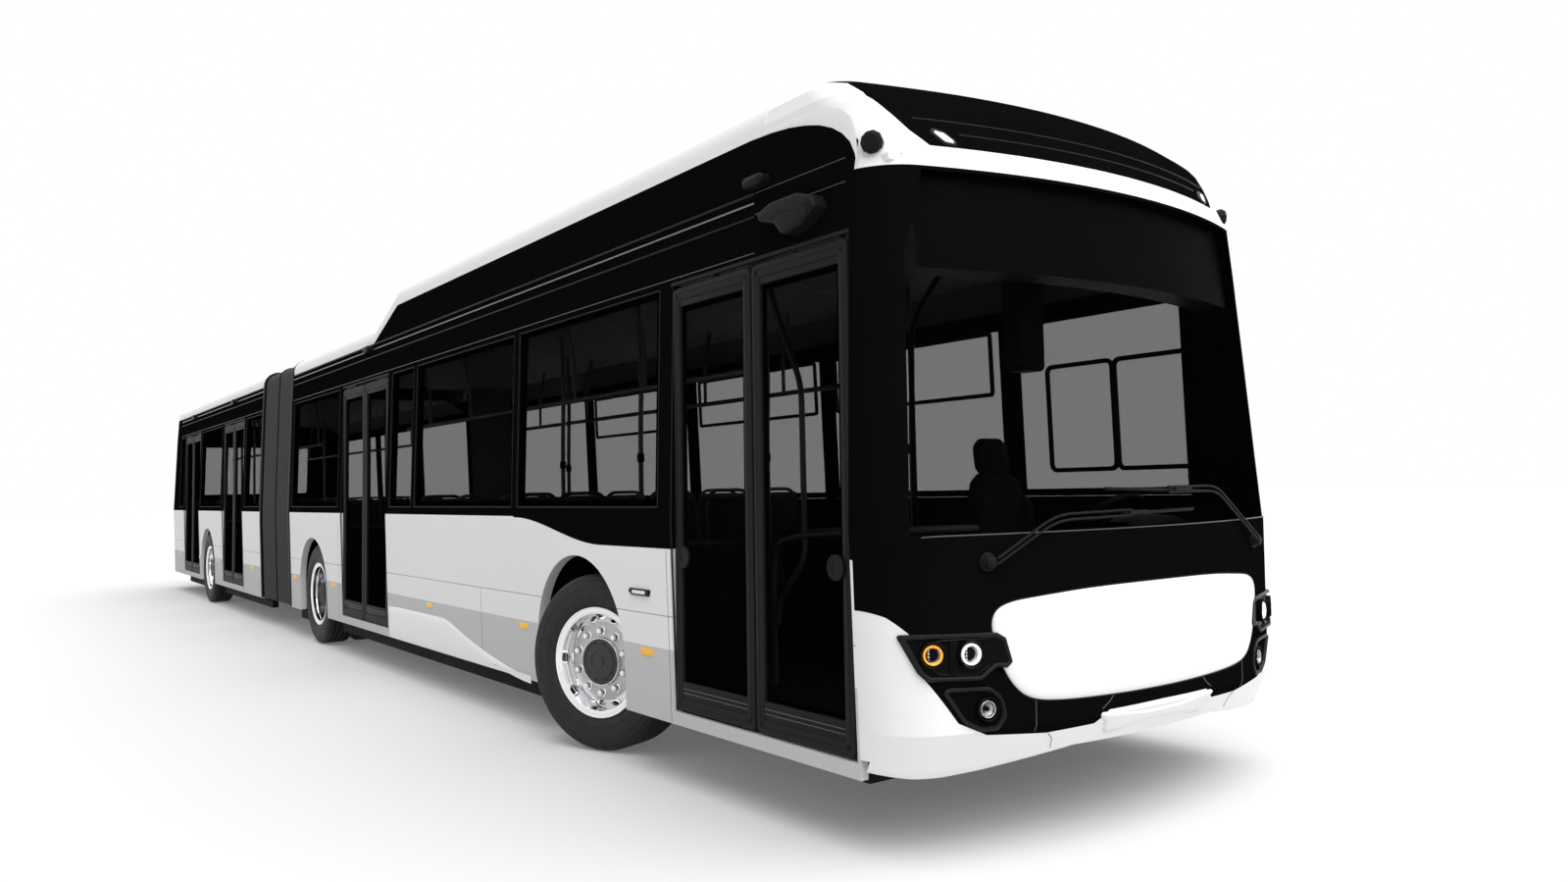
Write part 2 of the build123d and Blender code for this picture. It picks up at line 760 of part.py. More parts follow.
# Floors with wheel housings and the dark side beams under the skirts
def floor_body(start, end, axles, beams):
    """Floor between two places, with a boxed housing over each wheel and beams along both sides."""
    floor_half = half_width(FLOOR_TOP - FLOOR_THICK) - WALL
    low = FLOOR_TOP - FLOOR_THICK
    skin = HOUSING_SKIN
    with BuildPart() as floor:
        add(box(back(end), back(start), -floor_half, floor_half, low, FLOOR_TOP))
        for axle in axles:
            for side in (-1, 1):
                inner = side * (HOUSING_INNER - skin)
                outer = side * floor_half
                add(box(back(axle) - HOUSING_HALF - skin, back(axle) + HOUSING_HALF + skin,
                        inner, outer, low, HOUSING_TOP + skin))
        for axle in axles:
            for side in (-1, 1):
                add(box(back(axle) - HOUSING_HALF, back(axle) + HOUSING_HALF,
                        side * HOUSING_INNER, side * SIDE_REACH, low - 1, HOUSING_TOP), mode=Mode.SUBTRACT)
        for first, last in beams:
            for side in (-1, 1):
                add(box(back(last), back(first), side * BEAM_Y, side * (BEAM_Y - BEAM_WIDTH),
                        BEAM_BOTTOM, low))
    return floor.part


with BuildPart() as front_floor:
    add(floor_body(FLOOR_START, FRONT_BODY_END, (FRONT_AXLE, MIDDLE_AXLE), FRONT_BEAMS))
    add(box(back(PIVOT), back(FRONT_BODY_END), -TONGUE_HALF, TONGUE_HALF, FLOOR_TOP - FLOOR_THICK,
            TURNTABLE_LOW))
    with BuildSketch(Plane.YZ.offset(back(FLOOR_START))):
        with Locations((-TOW_Y, FLOOR_TOP - FLOOR_THICK / 2)):
            Circle(TOW_BORE)
    extrude(amount=-TOW_DEPTH, mode=Mode.SUBTRACT)
    with BuildSketch(Plane.XY.offset(FLOOR_TOP - FLOOR_THICK)):
        with Locations((back(PIVOT), 0)):
            Circle(TONGUE_HALF)
    extrude(amount=TURNTABLE_LOW - FLOOR_TOP + FLOOR_THICK)
    with BuildSketch(Plane.XY.offset(TURNTABLE_LOW)):
        with Locations((back(PIVOT), 0)):
            Circle(PIVOT_PIN)
    extrude(amount=TURNTABLE_THICK)
finish(front_floor, "front_floor")

with BuildPart() as rear_floor:
    add(floor_body(REAR_BODY_START, FLOOR_END, (REAR_AXLE,), REAR_BEAMS))
finish(rear_floor, "rear_floor")

with BuildPart() as turntable:
    with BuildSketch(Plane.XY.offset(TURNTABLE_LOW + FORK_GAP)):
        with Locations((back(PIVOT), 0)):
            Circle(TURNTABLE_RADIUS)
        with Locations(((back(PIVOT) + back(REAR_BODY_START)) / 2, 0)):
            Rectangle(back(PIVOT) - back(REAR_BODY_START), 2 * TONGUE_HALF)
        with Locations((back(PIVOT), 0)):
            Circle(PIVOT_PIN + STUB_GAP, mode=Mode.SUBTRACT)
    extrude(amount=TURNTABLE_THICK)
    add(box(back(REAR_BODY_START), back(REAR_BODY_START) + TONGUE_PLATE, -TONGUE_HALF, TONGUE_HALF,
            FLOOR_TOP - FLOOR_THICK, TURNTABLE_LOW + FORK_GAP + TURNTABLE_THICK))
finish(turntable, "turntable")


def bellows_outline(inset):
    """Line of the bellows at a depth below the body's faces, from one foot over the roof to the other."""
    top = ROOF_TOP - inset
    wide = half_width(ROOF_EDGE) - inset
    corner = BELLOWS_ROUND - inset
    rise = math.sqrt(0.5) * corner
    with BuildLine() as path:
        for side in (-1, 1):
            levels = [BELLOWS_LOW] + [z for z, _ in SIDE if BELLOWS_LOW < z < ROOF_EDGE]
            points = [(side * (half_width(z) - inset), z) for z in levels] + [(side * wide, top - corner)]
            Polyline(*points)
            ThreePointArc((side * wide, top - corner), (side * (wide - corner + rise), top - corner + rise),
                          (side * (wide - corner), top))
        Line((-wide + corner, top), (wide - corner, top))
    return path.line


def bellows_ring(start, end, inset):
    """One fold of the bellows between two places."""
    inner = BELLOWS_INSET + FOLD_DEPTH + BELLOWS_SKIN
    with BuildPart() as ring:
        with BuildSketch(Plane.YZ.offset(back(end))):
            with BuildLine():
                add(bellows_outline(inset))
                add(bellows_outline(inner))
                for side in (-1, 1):
                    foot = half_width(BELLOWS_LOW)
                    Line((side * (foot - inset), BELLOWS_LOW), (side * (foot - inner), BELLOWS_LOW))
            make_face()
        extrude(amount=back(start) - back(end))
    return ring.part


# Bellows between the two bodies, a tube of folds that is open below
with BuildPart() as bellows:
    fold_pitch = (REAR_BODY_START - FRONT_BODY_END) / FOLDS
    for fold in range(FOLDS):
        fold_start = FRONT_BODY_END + fold * fold_pitch
        add(bellows_ring(fold_start, fold_start + fold_pitch / 2, BELLOWS_INSET + FOLD_DEPTH))
        add(bellows_ring(fold_start + fold_pitch / 2, fold_start + fold_pitch, BELLOWS_INSET))
finish(bellows, "bellows")


# Wheels
def wheel_plane(centre, outward):
    """Plane through a wheel's centre, with local x along its axle and local y up."""
    return Plane(origin=centre, x_dir=outward, z_dir=outward.cross(Vector(0, 0, 1)))


def tyre_outline(offset):
    """Half section of a tyre whose middle is this far along the axle."""
    lip = BEAD_RADIUS + RIM_LIP + SEAT_GAP
    shoulder_low = TYRE_RADIUS - TYRE_SHOULDER
    bulge = lip + 0.5 * (shoulder_low - lip)
    tread_half = TYRE_WIDTH / 2 - TYRE_SHOULDER
    shoulder_half = TYRE_WIDTH / 2 - 0.15 * TYRE_SHOULDER
    round_half = TYRE_WIDTH / 2 - 0.4 * TYRE_SHOULDER
    with BuildSketch() as section:
        with BuildLine():
            Line((offset - BEAD_HALF, BEAD_RADIUS), (offset + BEAD_HALF, BEAD_RADIUS))
            for side in (-1, 1):
                bead = (offset + side * BEAD_HALF, BEAD_RADIUS)
                foot = (offset + side * BEAD_HALF, lip)
                shoulder = (offset + side * shoulder_half, shoulder_low)
                tread = (offset + side * tread_half, TYRE_RADIUS)
                Line(bead, foot)
                ThreePointArc(foot, (offset + side * TYRE_WIDTH / 2, bulge), shoulder)
                ThreePointArc(shoulder, (offset + side * round_half, TYRE_RADIUS - 0.25 * TYRE_SHOULDER),
                              tread)
            Line((offset - tread_half, TYRE_RADIUS), (offset + tread_half, TYRE_RADIUS))
        make_face()
    return section.sketch


def tyre_solid(plane, offsets):
    """Tyres on one hub."""
    with BuildPart() as tyre:
        for offset in offsets:
            with BuildSketch(plane):
                add(tyre_outline(offset))
            revolve(axis=Axis(plane.origin, plane.x_dir))
    return tyre.part


def rim_solid(plane, offsets, disc, hub_out, hub_in):
    """Rim barrels, one dished disc with hand holes, and the hub with its bore."""
    with BuildPart() as rim:
        for offset in offsets:
            with BuildSketch(plane):
                add(polygon([(offset - BEAD_HALF, RIM_WELL), (offset + BEAD_HALF, RIM_WELL),
                             (offset + RIM_HALF, BEAD_RADIUS - RIM_LIP),
                             (offset + RIM_HALF, BEAD_RADIUS + RIM_LIP),
                             (offset + BEAD_HALF, BEAD_RADIUS + RIM_LIP),
                             (offset + BEAD_HALF, BEAD_RADIUS), (offset - BEAD_HALF, BEAD_RADIUS),
                             (offset - BEAD_HALF, BEAD_RADIUS + RIM_LIP),
                             (offset - RIM_HALF, BEAD_RADIUS + RIM_LIP),
                             (offset - RIM_HALF, BEAD_RADIUS - RIM_LIP)]))
            revolve(axis=Axis(plane.origin, plane.x_dir))
        if len(offsets) > 1:
            with BuildSketch(plane):
                bridge = TWIN_OFFSET - BEAD_HALF + WELD
                add(polygon([(-bridge, RIM_WELL), (bridge, RIM_WELL), (bridge, RIM_WELL + RIM_THICK),
                             (-bridge, RIM_WELL + RIM_THICK)]))
            revolve(axis=Axis(plane.origin, plane.x_dir))
        with BuildSketch(plane):
            dished = disc - DISC_DISH
            bore = STUB_RADIUS + STUB_GAP
            add(polygon([(dished - RIM_THICK, RIM_WELL + WELD), (dished, RIM_WELL + WELD),
                         (disc, FLANGE_RADIUS),
                         (disc, HUB_RADIUS), (hub_out, HUB_RADIUS), (hub_out, bore), (-hub_in, bore),
                         (-hub_in, HUB_RADIUS), (disc - RIM_THICK, HUB_RADIUS),
                         (disc - RIM_THICK, FLANGE_RADIUS)]))
        revolve(axis=Axis(plane.origin, plane.x_dir))
        with BuildSketch(Plane(origin=plane.origin + plane.x_dir * (disc + DISC_DISH), x_dir=plane.z_dir,
                               z_dir=plane.x_dir)):
            with PolarLocations(HAND_HOLE_CIRCLE, HAND_HOLES):
                Circle(HAND_HOLE_RADIUS)
        extrude(amount=-HAND_HOLE_DEPTH, mode=Mode.SUBTRACT)
    return rim.part


def outward(side, turn=0):
    """Direction of a wheel's outer side, turned by the steering."""
    angle = math.radians(90 * side + turn)
    return Vector(math.cos(angle), math.sin(angle), 0)


WHEELS = []
for side, side_name in ((1, "left"), (-1, "right")):
    kingpin = Vector(back(FRONT_AXLE), side * KINGPIN_Y, TYRE_RADIUS)
    turned = outward(side, STEER_REST)
    WHEELS.append(("front_" + side_name, kingpin + turned * (TRACK_HALF - KINGPIN_Y), turned, (0,), DISC_OUT,
                   HUB_OUT, HUB_IN))
    WHEELS.append(("middle_" + side_name, Vector(back(MIDDLE_AXLE), side * TWIN_TRACK_HALF, TYRE_RADIUS),
                   outward(side), (-TWIN_OFFSET, TWIN_OFFSET), TWIN_DISC, TWIN_HUB_OUT, TWIN_HUB_IN))
    WHEELS.append(("rear_" + side_name, Vector(back(REAR_AXLE), side * TRACK_HALF, TYRE_RADIUS),
                   outward(side), (0,), DISC_OUT, HUB_OUT, HUB_IN))

for name, centre, direction, offsets, disc, hub_out, hub_in in WHEELS:
    hub_plane = wheel_plane(centre, direction)
    with BuildPart() as tyre:
        add(tyre_solid(hub_plane, offsets))
    finish(tyre, name + "_tyre")
    with BuildPart() as rim:
        add(rim_solid(hub_plane, offsets, disc, hub_out, hub_in))
    finish(rim, name + "_rim")

# Steering knuckles: a fork on the kingpin and the stub axle that carries the hub
for side, side_name in ((1, "left"), (-1, "right")):
    kingpin = Vector(back(FRONT_AXLE), side * KINGPIN_Y, TYRE_RADIUS)
    turned = outward(side, STEER_REST)
    with BuildPart() as knuckle:
        for fork_z in (KINGPIN_HALF + FORK_GAP, -KINGPIN_HALF - FORK_GAP - FORK_THICK):
            with BuildSketch(Plane.XY.offset(TYRE_RADIUS + fork_z)):
                with Locations((kingpin.X, kingpin.Y)):
                    Circle(KINGPIN_BOSS)
            extrude(amount=FORK_THICK)
        with BuildSketch(Plane.XY.offset(TYRE_RADIUS - KINGPIN_HALF - FORK_GAP - FORK_THICK)):
            with Locations((kingpin.X, kingpin.Y)):
                Circle(KINGPIN_RADIUS)
        extrude(amount=2 * (KINGPIN_HALF + FORK_GAP + FORK_THICK))
        fork_high = 2 * (KINGPIN_HALF + FORK_GAP + FORK_THICK)
        plate_at = kingpin + turned * FORK_REACH
        with BuildSketch(Plane(origin=plate_at, x_dir=Vector(0, 0, 1), z_dir=turned)):
            Rectangle(fork_high, 2 * KINGPIN_BOSS)
        extrude(amount=KNUCKLE_PLATE)
        for fork_z in (KINGPIN_HALF + FORK_GAP, -KINGPIN_HALF - FORK_GAP - FORK_THICK):
            with BuildSketch(Plane(origin=kingpin + Vector(0, 0, fork_z + FORK_THICK / 2),
                                   x_dir=Vector(0, 0, 1), z_dir=turned)):
                Rectangle(FORK_THICK, 2 * KINGPIN_BOSS)
            extrude(amount=FORK_REACH)
        with BuildSketch(Plane(origin=plate_at, x_dir=Vector(0, 0, 1), z_dir=turned)):
            Circle(STUB_RADIUS)
        extrude(amount=TRACK_HALF - KINGPIN_Y + HUB_OUT - FORK_REACH)
    finish(knuckle, "knuckle_" + side_name)

axle_rear = back(FRONT_AXLE) - BEAM_RADIUS
axle_front = back(FRONT_AXLE) + BEAM_RADIUS

with BuildPart() as front_axle:
    for side in (-1, 1):
        with BuildSketch(Plane.XY.offset(TYRE_RADIUS - KINGPIN_HALF)):
            with Locations((back(FRONT_AXLE), side * KINGPIN_Y)):
                Circle(KINGPIN_BOSS)
                Circle(KINGPIN_RADIUS + STUB_GAP, mode=Mode.SUBTRACT)
        extrude(amount=2 * KINGPIN_HALF)
        reach = KINGPIN_Y - KINGPIN_BOSS + HUB_CLEAR
        add(box(axle_rear, axle_front, side * AXLE_DROP_Y, side * reach, TYRE_RADIUS - BEAM_RADIUS,
                TYRE_RADIUS + BEAM_RADIUS))
        add(box(axle_rear, axle_front, side * AXLE_DROP_Y, side * (AXLE_DROP_Y + AXLE_DROP_WIDTH), AXLE_LOW,
                TYRE_RADIUS + BEAM_RADIUS))
    add(box(axle_rear, axle_front, -AXLE_DROP_Y, AXLE_DROP_Y, AXLE_LOW, FLOOR_TOP - FLOOR_THICK - SEAT_GAP))
finish(front_axle, "front_axle")


def fixed_axle(axle, track, hub_in, hub_out, drop_width):
    """Low cross beam with a drop box and a stub for the hub at each end."""
    with BuildPart() as beam:
        add(box(back(axle) - BEAM_RADIUS, back(axle) + BEAM_RADIUS, -AXLE_DROP_Y, AXLE_DROP_Y, AXLE_LOW,
                FLOOR_TOP - FLOOR_THICK - SEAT_GAP))
        for side in (-1, 1):
            end = track - hub_in - HUB_CLEAR
            add(box(back(axle) - 2 * BEAM_RADIUS, back(axle) + 2 * BEAM_RADIUS, side * AXLE_DROP_Y,
                    side * (AXLE_DROP_Y + drop_width), AXLE_LOW, TYRE_RADIUS + 2 * BEAM_RADIUS))
            with BuildSketch(Plane(origin=(back(axle), side * AXLE_DROP_Y, TYRE_RADIUS), x_dir=(1, 0, 0),
                                   z_dir=(0, side, 0))):
                Circle(STUB_RADIUS)
            extrude(amount=track + hub_out - AXLE_DROP_Y)
            with BuildSketch(Plane(origin=(back(axle), side * AXLE_DROP_Y, TYRE_RADIUS), x_dir=(1, 0, 0),
                                   z_dir=(0, side, 0))):
                Circle(2 * BEAM_RADIUS)
            extrude(amount=end - AXLE_DROP_Y)
    return beam.part


with BuildPart() as middle_axle:
    add(fixed_axle(MIDDLE_AXLE, TWIN_TRACK_HALF, TWIN_HUB_IN, TWIN_HUB_OUT, TWIN_DROP_WIDTH))
finish(middle_axle, "middle_axle")

with BuildPart() as rear_axle:
    add(fixed_axle(REAR_AXLE, TRACK_HALF, HUB_IN, HUB_OUT, AXLE_DROP_WIDTH))
finish(rear_axle, "rear_axle")

# Doors: two leaves each, with an upper and a lower arm that swing the leaf inwards
for door, middle in DOORS:
    for leaf_name, sign in (("a", 1), ("b", -1)):
        jamb = back(middle) + sign * DOOR_WIDTH / 2
        outer_edge = jamb - sign * JAMB_GAP
        inner_edge = outer_edge - sign * LEAF_WIDTH
        front_edge = max(outer_edge, inner_edge)
        rear_edge = min(outer_edge, inner_edge)
        pivot_x = jamb - sign * ARM_FROM_JAMB
        hinge_x = pivot_x - sign * ARM_LENGTH
        with BuildPart() as leaf:
            add(strip(-1, behind(front_edge), behind(rear_edge), LEAF_LOW, LEAF_HIGH, 0, LEAF_THICK))
            add(opening(-1, behind(front_edge - LEAF_FRAME), behind(rear_edge + LEAF_FRAME), LEAF_KICK,
                        LEAF_HIGH - LEAF_TOP_RAIL), mode=Mode.SUBTRACT)
            for z0, z1 in ((LEAF_HIGH - LUG_HIGH, LEAF_HIGH), (LEAF_LOW, LEAF_LOW + LUG_HIGH)):
                add(box(hinge_x - EYE_RADIUS, hinge_x + EYE_RADIUS, -half_width(z0) + LEAF_THICK / 2,
                        -ARM_LINE + EYE_RADIUS, z0, z1))
            for z0, length in ((LEAF_HIGH, ARM_GAP + ARM_THICK), (LEAF_LOW, -ARM_GAP - ARM_THICK)):
                with BuildSketch(Plane.XY.offset(z0)):
                    with Locations((hinge_x, -ARM_LINE)):
                        Circle(DOOR_PIN)
                extrude(amount=length)
            frame_gap = LEAF_FRAME + SEAT_GAP
            add(strip(-1, behind(front_edge - frame_gap), behind(rear_edge + frame_gap),
                      LEAF_KICK + SEAT_GAP, LEAF_HIGH - LEAF_TOP_RAIL - SEAT_GAP,
                      LEAF_THICK / 2 - LEAF_GLASS / 2, LEAF_THICK / 2 + LEAF_GLASS / 2))
        finish(leaf, door + "_leaf_" + leaf_name)
        with BuildPart() as arm:
            for z0, seat in ((LEAF_HIGH + ARM_GAP, DOOR_HIGH), (LEAF_LOW - ARM_GAP - ARM_THICK, FLOOR_TOP)):
                with BuildSketch(Plane.XY.offset(z0)):
                    with Locations(((pivot_x + hinge_x) / 2, -ARM_LINE)):
                        Rectangle(ARM_LENGTH, ARM_WIDTH)
                    with Locations((pivot_x, -ARM_LINE), (hinge_x, -ARM_LINE)):
                        Circle(EYE_RADIUS)
                    with Locations((hinge_x, -ARM_LINE)):
                        Circle(DOOR_PIN + STUB_GAP, mode=Mode.SUBTRACT)
                extrude(amount=ARM_THICK)
                up = 1 if seat > z0 else -1
                with BuildSketch(Plane.XY.offset(z0 + (ARM_THICK if up > 0 else 0))):
                    with Locations((pivot_x, -ARM_LINE)):
                        Circle(DOOR_PIN * 1.5)
                stub = abs(seat - z0) - (ARM_THICK if up > 0 else 0) - SEAT_GAP
                extrude(amount=up * stub)
        finish(arm, door + "_arm_" + leaf_name)


# Interior
def seat_set(body):
    """Double seats of one body, each bench on its foot beside the wall."""
    for row_body, front, side, facing in SEATS:
        if row_body == body:
            with BuildPart() as bench:
                with BuildSketch(Plane.XZ.offset(-side * (half_width(FLOOR_TOP) - WALL - SEAT_WALL_GAP))):
                    add(polygon([(back(front) - facing * x, FLOOR_TOP + z) for x, z in SEAT_OUTLINE]))
                extrude(amount=side * 2 * SEAT_WIDTH)
            yield bench.part


for body in ("front", "rear"):
    with BuildPart() as seats:
        for bench in seat_set(body):
            add(bench)
    finish(seats, body + "_seats")

with BuildPart() as front_poles:
    for distance, y in POLES:
        with BuildSketch(Plane.XY.offset(FLOOR_TOP)):
            with Locations((back(distance), y)):
                Circle(POLE_RADIUS)
        extrude(amount=CEILING - FLOOR_TOP)
finish(front_poles, "front_poles")

with BuildPart() as dashboard:
    add(nose_block(WALL + DASH_CLEAR))
    add(box(back(DASH_REAR), back(0), -SIDE_REACH, SIDE_REACH, DASH_LOW, DASH_TOP), mode=Mode.INTERSECT)
    add(box(back(CONSOLE_REAR), back(DASH_REAR), *CONSOLE_Y, DASH_LOW, CONSOLE_TOP))
    add(box(back(DASH_REAR), back(DASH_REAR - WALL), *CONSOLE_Y, CONSOLE_LOW, DASH_LOW))
    column = Plane(origin=(back(WHEEL_BEHIND), WHEEL_Y, WHEEL_Z), x_dir=(0, 1, 0), z_dir=COLUMN_AXIS)
    with BuildSketch(column):
        Circle(WHEEL_RADIUS)
        Circle(WHEEL_RADIUS - WHEEL_RIM, mode=Mode.SUBTRACT)
        Rectangle(2 * WHEEL_RADIUS - WHEEL_RIM, 2 * COLUMN_RADIUS)
        Circle(2 * COLUMN_RADIUS)
    extrude(amount=WHEEL_RIM)
    with BuildSketch(column):
        Circle(COLUMN_RADIUS)
    extrude(amount=-COLUMN_LENGTH)
finish(dashboard, "dashboard")

with BuildPart() as driver_seat:
    with BuildSketch(Plane.XZ.offset(-(WHEEL_Y + DRIVER_WIDTH / 2))):
        add(polygon([(back(distance), z) for distance, z in DRIVER_SEAT]))
    extrude(amount=DRIVER_WIDTH)
finish(driver_seat, "driver_seat")

with BuildPart() as roof_battery:
    add(box(back(POD_END - BATTERY_MARGIN), back(BATTERY_START), -BATTERY_HALF, BATTERY_HALF,
            CEILING + CEILING_THICK + SEAT_GAP, BATTERY_TOP))
finish(roof_battery, "roof_battery")

# Wipers, cameras and lamps
with BuildPart() as wipers:
    for side, *places in WIPERS:
        for boss in wiper_boss(side, 0, WIPER_PROUD + WIPER_RADIUS):
            add(boss)
        route = [nose_point(y, z, WIPER_PROUD) for y, z in places]
        for (x0, y0, z0), (x1, y1, z1) in zip(route, route[1:]):
            first = Vector(x0, side * y0, z0)
            second = Vector(x1, side * y1, z1)
            with BuildSketch(Plane(origin=first, z_dir=second - first)):
                Circle(WIPER_RADIUS)
            extrude(amount=(second - first).length)
            with Locations(second):
                Sphere(WIPER_RADIUS)
finish(wipers, "wipers")

with BuildPart() as camera_pods:
    for side in (-1, 1):
        with BuildPart() as wing:
            with BuildSketch(side_plane(side)):
                add(polygon([(back(d), z) for d, z in WING]))
            extrude(amount=side * SIDE_CUT)
            add(strip(side, WING[0][0] + 1, 0, WING[6][1] - 1, WING[2][1] + 1, -WING_PROUD, 0),
                mode=Mode.INTERSECT)
        add(wing.part)
    for side, distance, height in CAPS:
        add(strip(side, distance - CAP_LENGTH / 2, distance + CAP_LENGTH / 2, height - CAP_HIGH / 2,
                  height + CAP_HIGH / 2, -CAP_PROUD, 0))
finish(camera_pods, "camera_pods")

with BuildPart() as tail_lamps:
    for zone in tail_lamp_zones():
        with BuildPart() as lamp:
            add(tail_block(-TAIL_LAMP_PROUD))
            add(tail_block(TAIL_LAMP_DEPTH), mode=Mode.SUBTRACT)
            add(zone, mode=Mode.INTERSECT)
        add(lamp.part)
finish(tail_lamps, "tail_lamps")
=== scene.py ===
import math

import bmesh
import bpy
from mathutils import Matrix, Vector


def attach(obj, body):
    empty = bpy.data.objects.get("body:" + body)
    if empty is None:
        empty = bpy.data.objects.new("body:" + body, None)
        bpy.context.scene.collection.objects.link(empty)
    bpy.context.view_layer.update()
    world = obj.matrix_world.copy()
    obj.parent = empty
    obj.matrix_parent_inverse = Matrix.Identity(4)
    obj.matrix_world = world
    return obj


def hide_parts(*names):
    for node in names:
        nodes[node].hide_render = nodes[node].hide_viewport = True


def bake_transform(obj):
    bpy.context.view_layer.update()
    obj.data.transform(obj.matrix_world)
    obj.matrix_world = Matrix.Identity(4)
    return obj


# Looks of the articulated bus, in metres: +X forward, +Y to its left, +Z up, ground at z = 0.
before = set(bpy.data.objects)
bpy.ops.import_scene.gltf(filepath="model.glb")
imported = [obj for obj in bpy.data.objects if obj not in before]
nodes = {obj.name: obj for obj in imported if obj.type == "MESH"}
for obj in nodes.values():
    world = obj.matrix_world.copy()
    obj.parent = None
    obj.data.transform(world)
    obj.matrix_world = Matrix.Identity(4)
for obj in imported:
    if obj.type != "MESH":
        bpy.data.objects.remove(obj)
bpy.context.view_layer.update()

TAIL_END = 18.0
TAIL_BOW = 6.0
FRONT = 8.98128
PIVOT = 10.275
SIDE = [(0.29, 1.255), (1.25, 1.275), (2.4, 1.235), (2.93, 1.21)]
NOSE = [(0.37, 0.06), (0.48, 0.005), (1.21, 0.0), (2.4, 0.1), (2.64, 0.122), (2.76, 0.18), (2.94, 0.28),
        (2.98, 0.315), (3.045, 0.4), (3.093, 0.52), (3.11, 0.64)]
NOSE_BOW = 3.47
WHEEL_RADIUS = 0.48
AXLES = (2.81, 8.65, 14.45)
FLOOR_TOP, CEILING = 0.325, 2.598
LOW_ROOF, POD_ROOF = 2.86, 3.11
TUBE = 0.0165


def back(distance):
    """x of a place this far behind the front face."""
    return FRONT - distance


def half_width(z):
    """Half width of the body's outer face at a height."""
    for (z0, w0), (z1, w1) in zip(SIDE, SIDE[1:]):
        if z <= z1 or (z1, w1) == SIDE[-1]:
            return w0 + (w1 - w0) * (z - z0) / (z1 - z0)


def body_at(distance):
    return "front_body" if distance < PIVOT else "rear_body"


def spot(distance, y, z):
    """Place this far behind the front face."""
    return Vector((back(distance), y, z))


def evenly(low, high, count):
    """Numbers from low to high in this many equal steps."""
    return [low + (high - low) * k / count for k in range(count + 1)]


def turns(count, start=0.0):
    """Angles evenly round a circle, the first one this part of a step on."""
    return [math.tau * (k + start) / count for k in range(count)]


def centre_of(outline):
    return [sum(p[i] for p in outline) / len(outline) for i in (0, 1)]


def about(middle, point, scale):
    """Point of an outline moved towards its middle."""
    return [m + (p - m) * scale for m, p in zip(middle, point)]


# Camera, at the photograph's place and angle
CAMERA_AHEAD, CAMERA_Y, CAMERA_Z = 2.811, -3.996, 1.406
CAMERA_LENS = 25.52
YAW, PITCH, ROLL = (math.radians(a) for a in (143.577, 2.412, -1.305))
ahead = Vector((math.cos(PITCH) * math.cos(YAW), math.cos(PITCH) * math.sin(YAW), math.sin(PITCH)))
level = Vector((math.sin(YAW), -math.cos(YAW), 0))
upward = level.cross(ahead)
right = math.cos(ROLL) * level + math.sin(ROLL) * upward
up = math.cos(ROLL) * upward - math.sin(ROLL) * level
camera = bpy.data.objects.new("camera", bpy.data.cameras.new("camera"))
camera.matrix_world = (Matrix.Translation((CAMERA_AHEAD + FRONT, CAMERA_Y, CAMERA_Z))
                       @ Matrix((right, up, -ahead)).transposed().to_4x4())
camera.data.lens = CAMERA_LENS
camera.data.clip_end = 400
bpy.context.collection.objects.link(camera)
bpy.context.scene.camera = camera
bpy.context.scene.view_settings.view_transform = "Standard"


